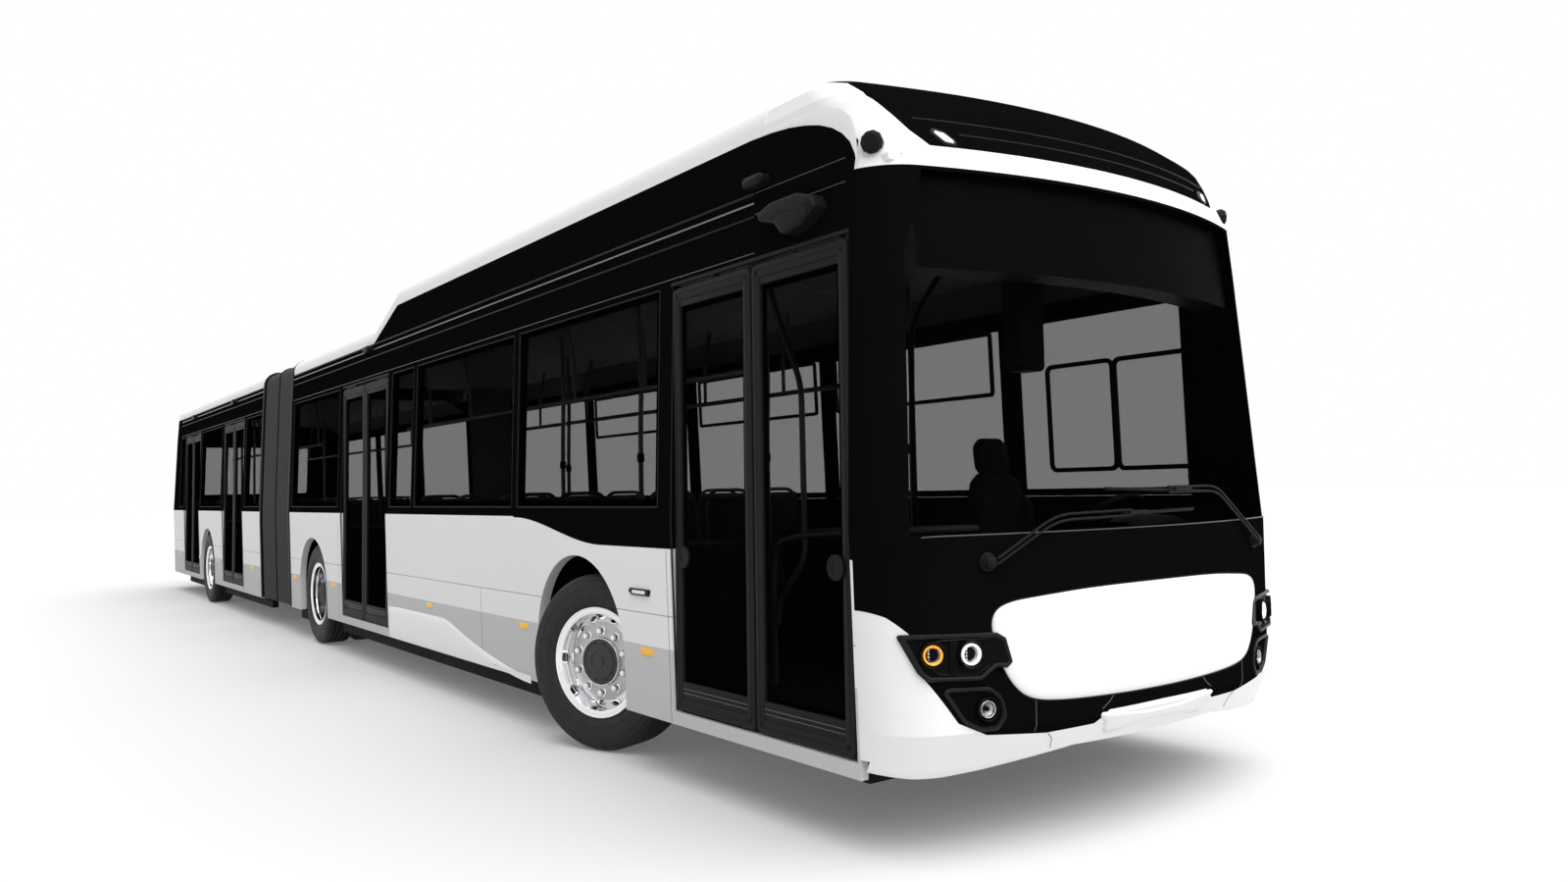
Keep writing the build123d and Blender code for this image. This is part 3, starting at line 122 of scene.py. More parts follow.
# Materials
class Tree:
    """Short way to build a material's nodes."""

    def __init__(self, name):
        self.material = bpy.data.materials.new(name)
        self.material.use_nodes = True
        self.nodes = self.material.node_tree.nodes
        self.links = self.material.node_tree.links
        self.shader = self.nodes["Principled BSDF"]
        self.place = None

    def add(self, kind, **settings):
        node = self.nodes.new("ShaderNode" + kind)
        for key, value in settings.items():
            setattr(node, key, value)
        return node

    def wire(self, source, node, socket):
        if isinstance(source, bpy.types.NodeSocket):
            self.links.new(source, node.inputs[socket])
        else:
            node.inputs[socket].default_value = source

    def position(self):
        if self.place is None:
            self.place = self.add("TexCoord").outputs["Object"]
        return self.place

    def axis(self, name):
        split = self.add("SeparateXYZ")
        self.wire(self.position(), split, 0)
        return split.outputs[name]

    def math(self, operation, a, b=0.0):
        node = self.add("Math", operation=operation)
        self.wire(a, node, 0)
        self.wire(b, node, 1)
        return node.outputs[0]

    def both(self, *conditions):
        result = conditions[0]
        for condition in conditions[1:]:
            result = self.math("MULTIPLY", result, condition)
        return result

    def over(self, value, limit):
        return self.math("GREATER_THAN", value, limit)

    def under(self, value, limit):
        return self.math("LESS_THAN", value, limit)

    def noise(self, scale, detail=2.0, stretch=None):
        node = self.add("TexNoise")
        vector = self.position()
        if stretch:
            mapping = self.add("Mapping")
            self.wire(vector, mapping, "Vector")
            mapping.inputs["Scale"].default_value = stretch
            vector = mapping.outputs[0]
        self.wire(vector, node, "Vector")
        node.inputs["Scale"].default_value = scale
        node.inputs["Detail"].default_value = detail
        return node.outputs["Fac"]

    def mix(self, factor, a, b):
        node = self.add("Mix", data_type="RGBA")
        self.wire(factor, node, 0)
        for value, socket in ((a, 6), (b, 7)):
            if isinstance(value, bpy.types.NodeSocket):
                self.links.new(value, node.inputs[socket])
            else:
                node.inputs[socket].default_value = (*value, 1)
        return node.outputs[2]

    def map(self, value, low, high, out_low, out_high, smooth=False):
        node = self.add("MapRange", interpolation_type="SMOOTHSTEP" if smooth else "LINEAR")
        for index, item in enumerate((value, low, high, out_low, out_high)):
            self.wire(item, node, index)
        return node.outputs[0]

    def bump(self, height, strength, distance):
        node = self.add("Bump")
        self.wire(height, node, "Height")
        node.inputs["Strength"].default_value = strength
        node.inputs["Distance"].default_value = distance
        self.links.new(node.outputs[0], self.shader.inputs["Normal"])

    def set(self, **inputs):
        for key, value in inputs.items():
            socket = self.shader.inputs[key.replace("_", " ")]
            if isinstance(value, bpy.types.NodeSocket):
                self.links.new(value, socket)
            elif isinstance(value, tuple):
                socket.default_value = (*value, 1)
            else:
                socket.default_value = value


def simple(name, colour, roughness, metallic=0.0, specular=0.5, noise=60.0, spread=0.15, grain=0.0):
    """Material with a little unevenness in colour and roughness, and a fine grain if asked."""
    tree = Tree(name)
    cloud = tree.noise(noise, 3.0)
    darker = tuple(c * (1 - spread) for c in colour)
    lighter = tuple(min(1.0, c * (1 + spread)) for c in colour)
    tree.set(Base_Color=tree.mix(cloud, darker, lighter), Metallic=metallic,
             Roughness=tree.map(cloud, 0.3, 0.7, max(0.02, roughness * 0.85), min(1.0, roughness * 1.15)))
    tree.shader.inputs["Specular IOR Level"].default_value = specular
    if grain:
        tree.bump(tree.noise(noise * 12, 2.0), 0.4, grain)
    return tree.material


BLACK = (0.0035, 0.0035, 0.0038)
black_gloss = simple("black_gloss", BLACK, 0.1, specular=0.0, noise=3.0)
black_satin = simple("black_satin", (0.009, 0.009, 0.0095), 0.42, specular=0.06, noise=40.0, grain=0.0003)
white_gloss = simple("white_gloss", (0.83, 0.83, 0.835), 0.22, specular=0.4, noise=2.0, spread=0.008)
# Greyer copy of the white paint: painted shade for the white lips inside the wheel arches
shaded_white_gloss = simple("shaded_white_gloss", (0.62, 0.62, 0.625), 0.3, specular=0.4, noise=2.0, spread=0.01)
rubber = simple("rubber", (0.014, 0.014, 0.0145), 0.55, specular=0.06, noise=80.0, grain=0.0004)
tyre_rubber = simple("tyre_rubber", (0.011, 0.011, 0.0112), 0.62, specular=0.3, noise=30.0, grain=0.0006)
chassis_black = simple("chassis_black", (0.012, 0.012, 0.0125), 0.7, specular=0.05, noise=14.0, grain=0.0008)
chrome = simple("chrome", (0.8, 0.8, 0.81), 0.09, metallic=1.0, noise=20.0, spread=0.03)
alloy = simple("alloy", (0.42, 0.42, 0.43), 0.42, metallic=1.0, noise=220.0, spread=0.12, grain=0.0003)
gutter_metal = simple("gutter_metal", (0.17, 0.17, 0.175), 0.3, metallic=1.0, noise=20.0, spread=0.1)
pole_steel = simple("pole_steel", (0.06, 0.06, 0.062), 0.34, specular=0.5, noise=50.0)
seat_plastic = simple("seat_plastic", (0.02, 0.02, 0.021), 0.5, specular=0.3, noise=90.0, grain=0.0004)
seat_fabric = simple("seat_fabric", (0.016, 0.016, 0.018), 0.85, specular=0.15, noise=400.0, spread=0.5,
                     grain=0.0008)
liner = simple("liner", (0.03, 0.03, 0.031), 0.6, specular=0.2, noise=12.0)
seam_grey = simple("seam_grey", (0.06, 0.06, 0.062), 0.35, specular=0.4, noise=30.0)
amber = simple("amber", (1.0, 0.5, 0.0), 0.3, noise=120.0, spread=0.05)
lamp_white = simple("lamp_white", (0.78, 0.79, 0.8), 0.12, noise=150.0, spread=0.05)
lamp_red = simple("lamp_red", (0.45, 0.01, 0.01), 0.15, noise=150.0, spread=0.1)


def glass_material(name, tint, alpha):
    """Tinted glass that lets part of the light straight through."""
    tree = Tree(name)
    tree.set(Base_Color=tree.mix(tree.noise(4.0), tint, tuple(c * 1.3 for c in tint)), Roughness=0.03,
             Alpha=alpha)
    tree.shader.inputs["Specular IOR Level"].default_value = 0.0
    return tree.material


dark_glass = glass_material("dark_glass", (0.001, 0.001, 0.0012), 0.36)
screen_glass = glass_material("screen_glass", (0.001, 0.001, 0.0012), 0.36)

# Skirts: white, a light-grey band low down, a black sweep under the first window, and dark inside
GREY_BAND_TOP, SKIRT_SEAM, SKIRT_INSIDE_Y = 0.64, (0.798, 0.802), 1.2185
SWEEP_FROM, SWEEP_TO, SWEEP_HIGH, SWEEP_LOW = 3.66, 2.55, 1.262, 1.125
skirt = Tree("skirt_paint")
along, across, high = skirt.axis("X"), skirt.math("ABSOLUTE", skirt.axis("Y")), skirt.axis("Z")
cloud = skirt.noise(2.0)
colour = skirt.mix(cloud, (0.8, 0.8, 0.805), (0.83, 0.83, 0.835))
colour = skirt.mix(skirt.under(high, GREY_BAND_TOP), colour, (0.56, 0.56, 0.565))
sweep = skirt.map(along, back(SWEEP_FROM), back(SWEEP_TO), SWEEP_HIGH, SWEEP_LOW, smooth=True)
low_side = skirt.both(skirt.over(along, back(3.7)), skirt.over(high, sweep))
colour = skirt.mix(low_side, colour, BLACK)
seam = skirt.both(skirt.over(high, SKIRT_SEAM[0]), skirt.under(high, SKIRT_SEAM[1]))
colour = skirt.mix(seam, colour, (0.25, 0.25, 0.25))
colour = skirt.mix(skirt.under(across, SKIRT_INSIDE_Y), colour, (0.012, 0.012, 0.012))
skirt.set(Base_Color=colour, Roughness=skirt.map(cloud, 0.3, 0.7, 0.2, 0.26))
skirt.shader.inputs["Specular IOR Level"].default_value = 0.0

# Roofs: white outside, a dark ceiling inside
CEILING_BELOW, CEILING_Y, CEILING_BEHIND = 2.69, 1.09, 0.325
roof = Tree("roof_paint")
cloud = roof.noise(2.0)
inside = roof.both(roof.under(roof.axis("Z"), CEILING_BELOW),
                   roof.under(roof.math("ABSOLUTE", roof.axis("Y")), CEILING_Y),
                   roof.under(roof.axis("X"), back(CEILING_BEHIND)))
colour = roof.mix(inside, roof.mix(cloud, (0.82, 0.82, 0.825), (0.84, 0.84, 0.845)), (0.05, 0.05, 0.052))
roof.set(Base_Color=colour, Roughness=roof.map(cloud, 0.3, 0.7, 0.2, 0.26))
roof.shader.inputs["Specular IOR Level"].default_value = 0.0


def dress(node, material):
    """Give a CAD node a material, through its object so that its mesh stays as it is."""
    part = nodes[node]
    for part_slot in part.material_slots:
        part_slot.link = "OBJECT"
        part_slot.material = material


DRESS = {
    black_gloss: ["front_walls", "rear_walls", "front_mask", "roof_visor"],
    skirt.material: ["front_skirts", "rear_skirts"],
    roof.material: ["front_roof", "rear_roof"],
    white_gloss: ["bumper", "front_flap"],
    dark_glass: ["front_windows", "rear_windows"],
    screen_glass: ["windscreen"],
    chassis_black: ["front_floor", "rear_floor", "turntable", "front_axle", "middle_axle", "rear_axle",
                    "knuckle_left", "knuckle_right"],
    black_satin: ["dashboard", "headlamps", "tail_lamps", "camera_pods", "wipers"],
    pole_steel: ["front_poles"],
    seat_plastic: ["driver_seat"],
    alloy: ["roof_battery"],
}
for finish_material, names in DRESS.items():
    for name in names:
        dress(name, finish_material)
for name in nodes:
    if name.endswith("_rim"):
        dress(name, chrome)
    if "_arm_" in name:
        dress(name, black_satin)


# Shapes
class Form:
    """Mesh of one piece, put together from swept, turned and pressed shapes."""

    def __init__(self):
        self.verts, self.faces = [], []

    def grid(self, rows, across=False, along=False, caps=False):
        """Skin over rows of points; across joins the ends of each row, along the first row to the last."""
        start, wide = len(self.verts), len(rows[0])
        self.verts += [Vector(point) for row in rows for point in row]
        for i in range(len(rows) - (0 if along else 1)):
            a, b = start + i * wide, start + (i + 1) % len(rows) * wide
            for j in range(wide - (0 if across else 1)):
                k = (j + 1) % wide
                self.faces.append((a + j, a + k, b + k, b + j))
        if caps:
            last = start + (len(rows) - 1) * wide
            self.faces.append(tuple(start + j for j in reversed(range(wide))))
            self.faces.append(tuple(last + j for j in range(wide)))

    def tube(self, path, radius, sides=10, wide=1.0):
        """Round bar along a path; wide flattens it."""
        path = [Vector(point) for point in path]
        across = (path[1] - path[0]).orthogonal().normalized()
        rows = []
        for i, point in enumerate(path):
            tangent = (path[min(i + 1, len(path) - 1)] - path[max(i - 1, 0)]).normalized()
            across = (across - across.dot(tangent) * tangent).normalized()
            other = tangent.cross(across)
            rows.append([point + radius * (math.cos(a) * across + wide * math.sin(a) * other)
                         for a in turns(sides)])
        self.grid(rows, across=True, caps=True)

    def lathe(self, centre, axis, profile, sides=64, along=False):
        """Turned form from rows of radius and distance along the axis."""
        centre, axis = Vector(centre), Vector(axis).normalized()
        u = axis.orthogonal().normalized()
        v = axis.cross(u)
        self.grid([[centre + axis * d + r * (math.cos(a) * u + math.sin(a) * v) for a in turns(sides)]
                   for r, d in profile], across=True, along=along)

    def plate(self, outline, at, low, high, edge=0.0, steps=3):
        """Plate from an outline, between two levels of at(u, v, w), with its upper edge rounded."""
        rows = [[at(u, v, low) for u, v in outline]]
        for step in range(steps + 1 if edge else 1):
            turn = math.pi / 2 * step / steps
            inset = edge * (1 - math.cos(turn))
            rows.append([at(u, v, high - edge + edge * math.sin(turn)) for u, v in shrink(outline, inset)])
        self.grid(rows, across=True, caps=True)

    def frame(self, outline, section, at):
        """Closed frame: a section of inset and height carried round an outline."""
        self.grid([[at(u, v, w) for u, v in shrink(outline, inset)] for inset, w in section], across=True,
                  along=True)

    def band(self, path, outward, section):
        """Strip with a section of (aside, out) along a path, out along the normals given."""
        path = [Vector(point) for point in path]
        rows = []
        for i, point in enumerate(path):
            tangent = (path[min(i + 1, len(path) - 1)] - path[max(i - 1, 0)]).normalized()
            out = Vector(outward[i] if isinstance(outward, list) else outward).normalized()
            aside = tangent.cross(out)
            rows.append([point + a * aside + o * out for a, o in section])
        self.grid(rows, across=True, caps=True)

    def done(self, name, material, body, slot=None, crease=35, replaces=()):
        """Finish the piece and let it ride on a body."""
        mesh = bpy.data.meshes.new(name)
        mesh.from_pydata([tuple(v) for v in self.verts], [], self.faces)
        tidy = bmesh.new()
        tidy.from_mesh(mesh)
        bmesh.ops.remove_doubles(tidy, verts=tidy.verts, dist=1e-5)
        bmesh.ops.recalc_face_normals(tidy, faces=tidy.faces)
        tidy.to_mesh(mesh)
        tidy.free()
        mesh.shade_smooth()
        mesh.set_sharp_from_angle(angle=math.radians(crease))
        mesh.materials.append(material)
        piece = bpy.data.objects.new(name, mesh)
        bpy.context.collection.objects.link(piece)
        if body:
            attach(piece, body)
        if replaces:
            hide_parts(*replaces)
        return piece


def shrink(outline, inset):
    """Closed outline moved inwards, whichever way round it runs."""
    count = len(outline)
    area = sum(outline[i - 1][0] * outline[i][1] - outline[i][0] * outline[i - 1][1] for i in range(count))
    turn = 1 if area > 0 else -1
    result = []
    for i, (u, v) in enumerate(outline):
        (u0, v0), (u1, v1) = outline[i - 1], outline[(i + 1) % count]
        first = Vector((v0 - v, u - u0)).normalized()
        second = Vector((v - v1, u1 - u)).normalized()
        bisector = (first + second).normalized()
        reach = inset / max(0.35, bisector.dot(first))
        result.append((u + turn * bisector.x * reach, v + turn * bisector.y * reach))
    return result


def rounded(corners, radius, steps=5):
    """Outline with rounded corners; a corner with a third number has its own radius."""
    outline = []
    for i, corner in enumerate(corners):
        trio = corner, corners[i - 1], corners[(i + 1) % len(corners)]
        here, before, after = (Vector(c[:2]) for c in trio)
        one, two = (before - here).normalized(), (after - here).normalized()
        half = one.angle(two) / 2
        r = corner[2] if len(corner) > 2 else radius
        cut = min(r / math.tan(half), 0.49 * (before - here).length, 0.49 * (after - here).length)
        r = cut * math.tan(half)
        middle = here + (one + two).normalized() * r / math.sin(half)
        start, end = here + one * cut - middle, here + two * cut - middle
        swing = start.angle_signed(end)
        for k in range(steps + 1):
            turn = -swing * k / steps
            outline.append((middle.x + start.x * math.cos(turn) - start.y * math.sin(turn),
                            middle.y + start.x * math.sin(turn) + start.y * math.cos(turn)))
    return outline


def eased(points, radius, steps=6):
    """Open path through space with its corners rounded."""
    points = [Vector(p) for p in points]
    path = [points[0]]
    for before, here, after in zip(points, points[1:], points[2:]):
        cut = min(radius, 0.49 * (before - here).length, 0.49 * (after - here).length)
        start = here + (before - here).normalized() * cut
        end = here + (after - here).normalized() * cut
        path += [start.lerp(here, t).lerp(here.lerp(end, t), t)
                 for t in (k / steps for k in range(steps + 1))]
    return path + [points[-1]]


def box_outline(u0, u1, v0, v1, radius, steps=5):
    return rounded([(u0, v0), (u1, v0), (u1, v1), (u0, v1)], radius, steps)


def beside(side):
    """Places on a side of the bus from distance behind the front, height and how far out."""
    return lambda u, v, w: Vector((back(u), side * (half_width(v) + w), v))


def chamfered(wide, high, edge=0.3):
    """Section of a strip standing on a face, with softened outer corners."""
    half, e = wide / 2, edge * min(wide, high)
    return [(-half, 0), (-half, high - e), (-half + e, high), (half - e, high), (half, high - e), (half, 0)]


# Nose outline at a height: a wide bow, a rounded corner and the side
NOSE_LEVELS = [(0.37, 1.257, 0.255), (0.48, 1.259, 0.27), (1.21, 1.274, 0.28), (2.4, 1.235, 0.275),
               (2.64, 1.224, 0.27), (2.76, 1.218, 0.26), (2.94, 1.2095, 0.25), (2.98, 1.2095, 0.25),
               (3.045, 1.192, 0.24), (3.093, 1.145, 0.21), (3.11, 1.08, 0.17)]


def between(table, z):
    """Row of a table at a height, the columns after the first one blended."""
    for low, high in zip(table, table[1:]):
        if z <= high[0] or high is table[-1]:
            t = (z - low[0]) / (high[0] - low[0])
            return [a + (b - a) * t for a, b in zip(low[1:], high[1:])]


def end_point(tip, forward, bow, half, corner, y, z, proud):
    """Point over a bowed end of the bus with rounded corners; forward is 1 at the nose, -1 at the tail."""
    side = 1 if y >= 0 else -1
    centre = Vector((tip - forward * bow, 0))
    middle_y = half - corner
    if abs(y) > middle_y * bow / (bow - corner):
        centre = Vector((centre.x + forward * math.sqrt((bow - corner)**2 - middle_y**2), side * middle_y))
        bow = corner
    offset = min(bow, abs(y - centre.y))
    place = Vector((centre.x + forward * math.sqrt(bow**2 - offset**2), y))
    out = (place - centre).normalized()
    return Vector((place.x + out.x * proud, place.y + out.y * proud, z))


def face_point(y, z, proud=0.0):
    """Point over the front face or its rounded corners at this y and z."""
    return end_point(back(between(NOSE, z)[0]), 1, NOSE_BOW, *between(NOSE_LEVELS, z), y, z, proud)


TAIL = [(0.29, 0.05, 1.255, 0.42), (1.27, 0.0, 1.274, 0.45), (2.4, 0.15, 1.235, 0.43),
        (2.7, 0.23, 1.221, 0.4), (2.73, 0.245, 1.221, 0.4), (2.795, 0.29, 1.203, 0.38),
        (2.843, 0.35, 1.156, 0.33), (2.86, 0.43, 1.091, 0.28)]


def tail_point(y, z, proud=0.0):
    setback, half, corner = between(TAIL, z)
    return end_point(back(TAIL_END) + setback, -1, TAIL_BOW, half, corner, y, z, proud)


def face_out(y, z):
    return (face_point(y, z, 1) - face_point(y, z)).normalized()


def tail_out(y, z):
    return (tail_point(y, z, 1) - tail_point(y, z)).normalized()


# Wheels: name, centre, way out, tyres beside it, and how far out the flange and the hub cap stand
STEER = math.radians(22)
KINGPIN_Y, KINGPIN_TO_WHEEL = 0.985, 0.13
SINGLE, TWIN = ((0,), 0.07, 0.095), ((-0.156, 0.156), 0.015, 0.12)
WHEELS = []
for side, name in ((1, "left"), (-1, "right")):
    turned, straight = side * Vector((-math.sin(STEER), math.cos(STEER), 0)), Vector((0, side, 0))
    kingpin = spot(AXLES[0], side * KINGPIN_Y, WHEEL_RADIUS)
    WHEELS.append(("front_" + name, kingpin + KINGPIN_TO_WHEEL * turned, turned, *SINGLE))
    WHEELS.append(("middle_" + name, spot(AXLES[1], side * 0.935, WHEEL_RADIUS), straight, *TWIN))
    WHEELS.append(("rear_" + name, spot(AXLES[2], side * 1.115, WHEEL_RADIUS), straight, *SINGLE))

TYRE = [(0.3035, -0.112), (0.31, -0.118), (0.325, -0.1265), (0.345, -0.131), (0.3465, -0.1335),
        (0.3505, -0.1335), (0.352, -0.132), (0.38, -0.1355), (0.405, -0.1345), (0.4065, -0.136),
        (0.4105, -0.136), (0.412, -0.134), (0.436, -0.131), (0.445, -0.129), (0.4475, -0.124),
        (0.458, -0.1225), (0.4675, -0.115), (0.474, -0.105), (0.4785, -0.094)]
GROOVES = (-0.066, -0.023, 0.023, 0.066)
HUB = [(0.1278, -0.004), (0.124, 0.002), (0.108, 0.004), (0.106, 0.0015), (0.097, 0.0015), (0.095, 0.005),
       (0.06, 0.008), (0.058, 0.005), (0.03, 0.005), (0.028, 0.009), (0.0, 0.01)]
RIM_LIP = [(0.3015, -0.004), (0.302, 0.001), (0.299, 0.0045), (0.294, 0.005), (0.289, 0.002),
           (0.2775, -0.006), (0.2755, -0.016), (0.268, -0.022), (0.262, -0.034), (0.2605, -0.05),
           (0.2635, -0.05), (0.28, -0.012)]


def tyre_profile():
    tread = []
    for middle in GROOVES:
        tread += [(0.4795, middle - 0.006), (0.4675, middle - 0.0045), (0.4675, middle + 0.0045),
                  (0.4795, middle + 0.006)]
    return TYRE + tread + [(r, -d) for r, d in reversed(TYRE)] + [(0.293, 0.108), (0.293, -0.108)]


NUTS = 10
hub_cap = simple("hub_cap", (0.022, 0.022, 0.023), 0.45, specular=0.4, noise=70.0, spread=0.3, grain=0.0025)
for name, centre, outward, offsets, disc, hub in WHEELS:
    body = name + "_wheel"
    tyre = Form()
    for offset in offsets:
        tyre.lathe(centre + outward * offset, outward, tyre_profile(), 112, along=True)
    tyre.done(name + "_tyre_rubber", tyre_rubber, body, "tyre", 30, replaces=(name + "_tyre",))
    v = Vector((0, 0, 1))
    u = outward.cross(v).normalized()
    flange, nuts, cap = Form(), Form(), Form()
    flange.lathe(centre, outward, [(0.128, disc + 0.001), (0.132, disc + 0.004), (0.208, disc + 0.004),
                                   (0.2125, disc + 0.002), (0.2135, disc - 0.003), (0.128, disc - 0.002)], 72,
                 along=True)
    flange.done(name + "_flange", alloy, body, "rim", 25)
    for angle in turns(NUTS, 0.5):
        place = centre + outward * (disc + 0.003) + 0.168 * (math.cos(angle) * u + math.sin(angle) * v)
        nuts.lathe(place, outward, [(0.0, 0.003), (0.024, 0.0), (0.024, 0.004), (0.019, 0.008),
                                    (0.0185, 0.012)], 24)
        nuts.lathe(place, outward, [(0.0165, 0.008), (0.0165, 0.027), (0.0145, 0.031), (0.008, 0.032),
                                    (0.008, 0.036), (0.0, 0.037)], 6)
    nuts.done(name + "_nuts", chrome, body, "rim", 25)
    cap.lathe(centre, outward, [(0.1275, disc)] + [(r, hub + d) for r, d in HUB], 48)
    for angle in turns(NUTS):
        place = centre + outward * (hub + 0.001) + 0.1015 * (math.cos(angle) * u + math.sin(angle) * v)
        cap.lathe(place, outward, [(0.0, 0.0), (0.0055, 0.0), (0.0055, 0.005), (0.0, 0.007)], 6)
    cap.done(name + "_hub_cap", hub_cap, body, "rim", 25)
    lip = Form()
    lip.lathe(centre, outward, [(r, 0.118 + offsets[-1] + d) for r, d in RIM_LIP], 96, along=True)
    lip.done(name + "_rim_lip", chrome, body, "rim", 40)
    if disc > 0.05:
        eyes = Form()
        for angle in turns(NUTS):
            radial = math.cos(angle) * u + math.sin(angle) * v
            around = radial.cross(outward)
            place = centre + 0.236 * radial + outward * (disc - 0.0135)
            lean = (outward * 0.78 + radial * 0.62).normalized()
            other = around.cross(lean)
            ring = []
            for radius, rise in ((0.0185, -0.012), (0.0195, 0.003), (0.0225, 0.0045), (0.0255, 0.002),
                                 (0.0275, -0.003)):
                wide, tall = 1.18 * radius * around, 0.9 * radius * other
                ring.append([place + lean * rise + math.cos(a) * wide + math.sin(a) * tall
                             for a in turns(20)])
            eyes.grid(ring, across=True)
        eyes.done(name + "_hand_holes", chrome, body, "rim", 40)

# Bellows: fine folds of fabric with a dark hoop round the middle
BELLOWS_FROM, BELLOWS_TO = 9.6, 10.95
bellows_cloth = Tree("bellows_cloth")
cloud = bellows_cloth.noise(9.0, 4.0)
weave = bellows_cloth.noise(900.0, 2.0)
bellows_cloth.set(Base_Color=bellows_cloth.mix(cloud, (0.03, 0.03, 0.031), (0.048, 0.048, 0.05)),
                  Roughness=bellows_cloth.map(cloud, 0.3, 0.7, 0.5, 0.66))
bellows_cloth.shader.inputs["Specular IOR Level"].default_value = 0.3
bellows_cloth.bump(weave, 0.5, 0.0006)


def hoop_outline(inset, low=0.3, corner=0.15, steps=8):
    """Section of the bellows from one foot over the roof to the other."""
    half = []
    radius = corner - inset
    crown = LOW_ROOF - inset
    for z in evenly(low, crown - radius, 14):
        half.append((half_width(min(z, 2.7)) - inset, z))
    wide = half[-1][0]
    for k in range(1, steps + 1):
        a = math.pi / 2 * k / steps
        half.append((wide - radius + radius * math.cos(a), crown - radius + radius * math.sin(a)))
    half += [((wide - radius) * (1 - k / 6), crown) for k in range(1, 6)]
    half.append((0.0, crown))
    return half + [(-y, z) for y, z in reversed(half[:-1])]


def hoop_rows(*places):
    """Sections of the bellows, one for each distance behind the front and inset."""
    return [[spot(d, y, z) for y, z in hoop_outline(inset)] for d, inset in places]


folds = Form()
FOLD_COUNT, FOLD_SHAPE = 30, ((0.0, 0.046), (0.35, 0.021), (0.0, 0.013), (-0.35, 0.021))
BELLOWS_LONG = BELLOWS_TO - BELLOWS_FROM
places = []
for k in range(FOLD_COUNT * 4 + 1):
    shift, inset = FOLD_SHAPE[k % 4]
    places.append((BELLOWS_FROM + BELLOWS_LONG * (k + shift) / (FOLD_COUNT * 4), inset))
folds.grid(hoop_rows(*places))
folds.grid(hoop_rows(*((d, 0.052) for d in evenly(BELLOWS_FROM, BELLOWS_TO, 40))))
folds_piece = folds.done("bellows_folds", bellows_cloth.material, None, "bellows_fabric", 60,
                         replaces=("bellows",))
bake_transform(folds_piece)
hoop = Form()
HOOP = [(0.013, 0.05), (0.013, 0.0075), (0.006, 0.0025), (-0.006, 0.0025), (-0.013, 0.0075), (-0.013, 0.05)]
hoop.grid(hoop_rows(*((PIVOT + behind, inset) for behind, inset in HOOP)))
hoop_piece = hoop.done("bellows_hoop", black_satin, None, "bellows_fabric")
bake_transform(hoop_piece)
for body, d0, d1 in (("front_body", 9.56, 9.612), ("rear_body", 10.938, 10.99)):
    collar = Form()
    collar.grid(hoop_rows((d0, 0.03), (d0, -0.006), (d0 + 0.008, -0.011), (d1 - 0.008, -0.011), (d1, -0.006),
                          (d1, 0.03)))
    collar.done("bellows_collar_" + body, black_satin, body, "dark_plastic")

# Doors: rubber frames round dark glass, with a bar at the top, a lock disc and lines over the kick plate
DOORS = [("door1", 1.15, 0.505), ("door2", 6.97, 0.505), ("door3", 12.7, 0.505), ("door4", 15.825, 0.505)]
DOOR_HALF, LEAF_LOW, LEAF_HIGH, LEAF_WIDE = 0.675, 0.365, 2.376, 0.655
LEAF_FRAME = [(0.0, -0.034), (0.0, -0.006), (0.002, -0.002), (0.006, -0.0005), (0.022, -0.0005),
              (0.025, -0.003), (0.029, -0.003), (0.032, -0.0008), (0.052, -0.0008), (0.058, -0.003),
              (0.06, -0.008), (0.06, -0.034)]
LOCK = [(0.0, 0.001), (0.4, 0.001), (0.45, 0.004), (0.75, 0.004), (0.8, 0.006), (0.95, 0.006), (1.0, 0.002),
        (1.0, -0.006), (0.0, -0.006)]
FIRST_LOCK, OTHER_LOCK = (0.091, 1.09, 0.052, -0.014), (0.085, 0.435, 0.038, -0.007)
right_side = beside(-1)
door_rubber = simple("door_rubber", (0.013, 0.013, 0.0135), 0.5, specular=0.06, noise=70.0, grain=0.0003)
for door, middle, kick in DOORS:
    lock_in, lock_z, radius, sink = FIRST_LOCK if door == "door1" else OTHER_LOCK
    for letter, first in (("a", middle - DOOR_HALF + 0.014), ("b", middle + 0.006)):
        body = "%s_leaf_%s" % (door, letter)
        last = first + LEAF_WIDE
        frame_form, pane, border, disc = Form(), Form(), Form(), Form()
        frame_form.frame(box_outline(first, last, LEAF_LOW, LEAF_HIGH, 0.03), LEAF_FRAME, right_side)
        for low, high in ((LEAF_LOW + 0.05, kick - 0.004), (LEAF_HIGH - 0.09, LEAF_HIGH - 0.05)):
            frame_form.plate(box_outline(first + 0.05, last - 0.05, low, high, 0.012), right_side, -0.03,
                             -0.006, 0.003)
        frame_form.done(body + "_frame", door_rubber, body, "door", 30, replaces=(body,))
        opening = box_outline(first + 0.058, last - 0.058, kick - 0.006, LEAF_HIGH - 0.086, 0.03)
        pane.plate(opening, right_side, -0.022, -0.014, 0.0015)
        pane.done(body + "_pane", dark_glass, body, "door", 30)
        border.frame(opening, [(0.0, -0.0235), (0.0, -0.0225), (0.03, -0.0225), (0.03, -0.0235)], right_side)
        border.done(body + "_border", black_gloss, body, "door", 30)
        disc.lathe(right_side(first + lock_in if letter == "a" else last - lock_in, lock_z, sink), (0, -1, 0),
                   [(part * radius, d) for part, d in LOCK], 40)
        disc.done(body + "_lock", black_satin, body, "door", 30)
        lips = Form()
        for z in (kick - 0.035, kick - 0.055):
            lips.band([right_side(first + 0.06, z, -0.006), right_side(last - 0.06, z, -0.006)], (0, -1, 0),
                      chamfered(0.004, 0.003))
        lips.done(body + "_kick_lines", seam_grey, body, "door")

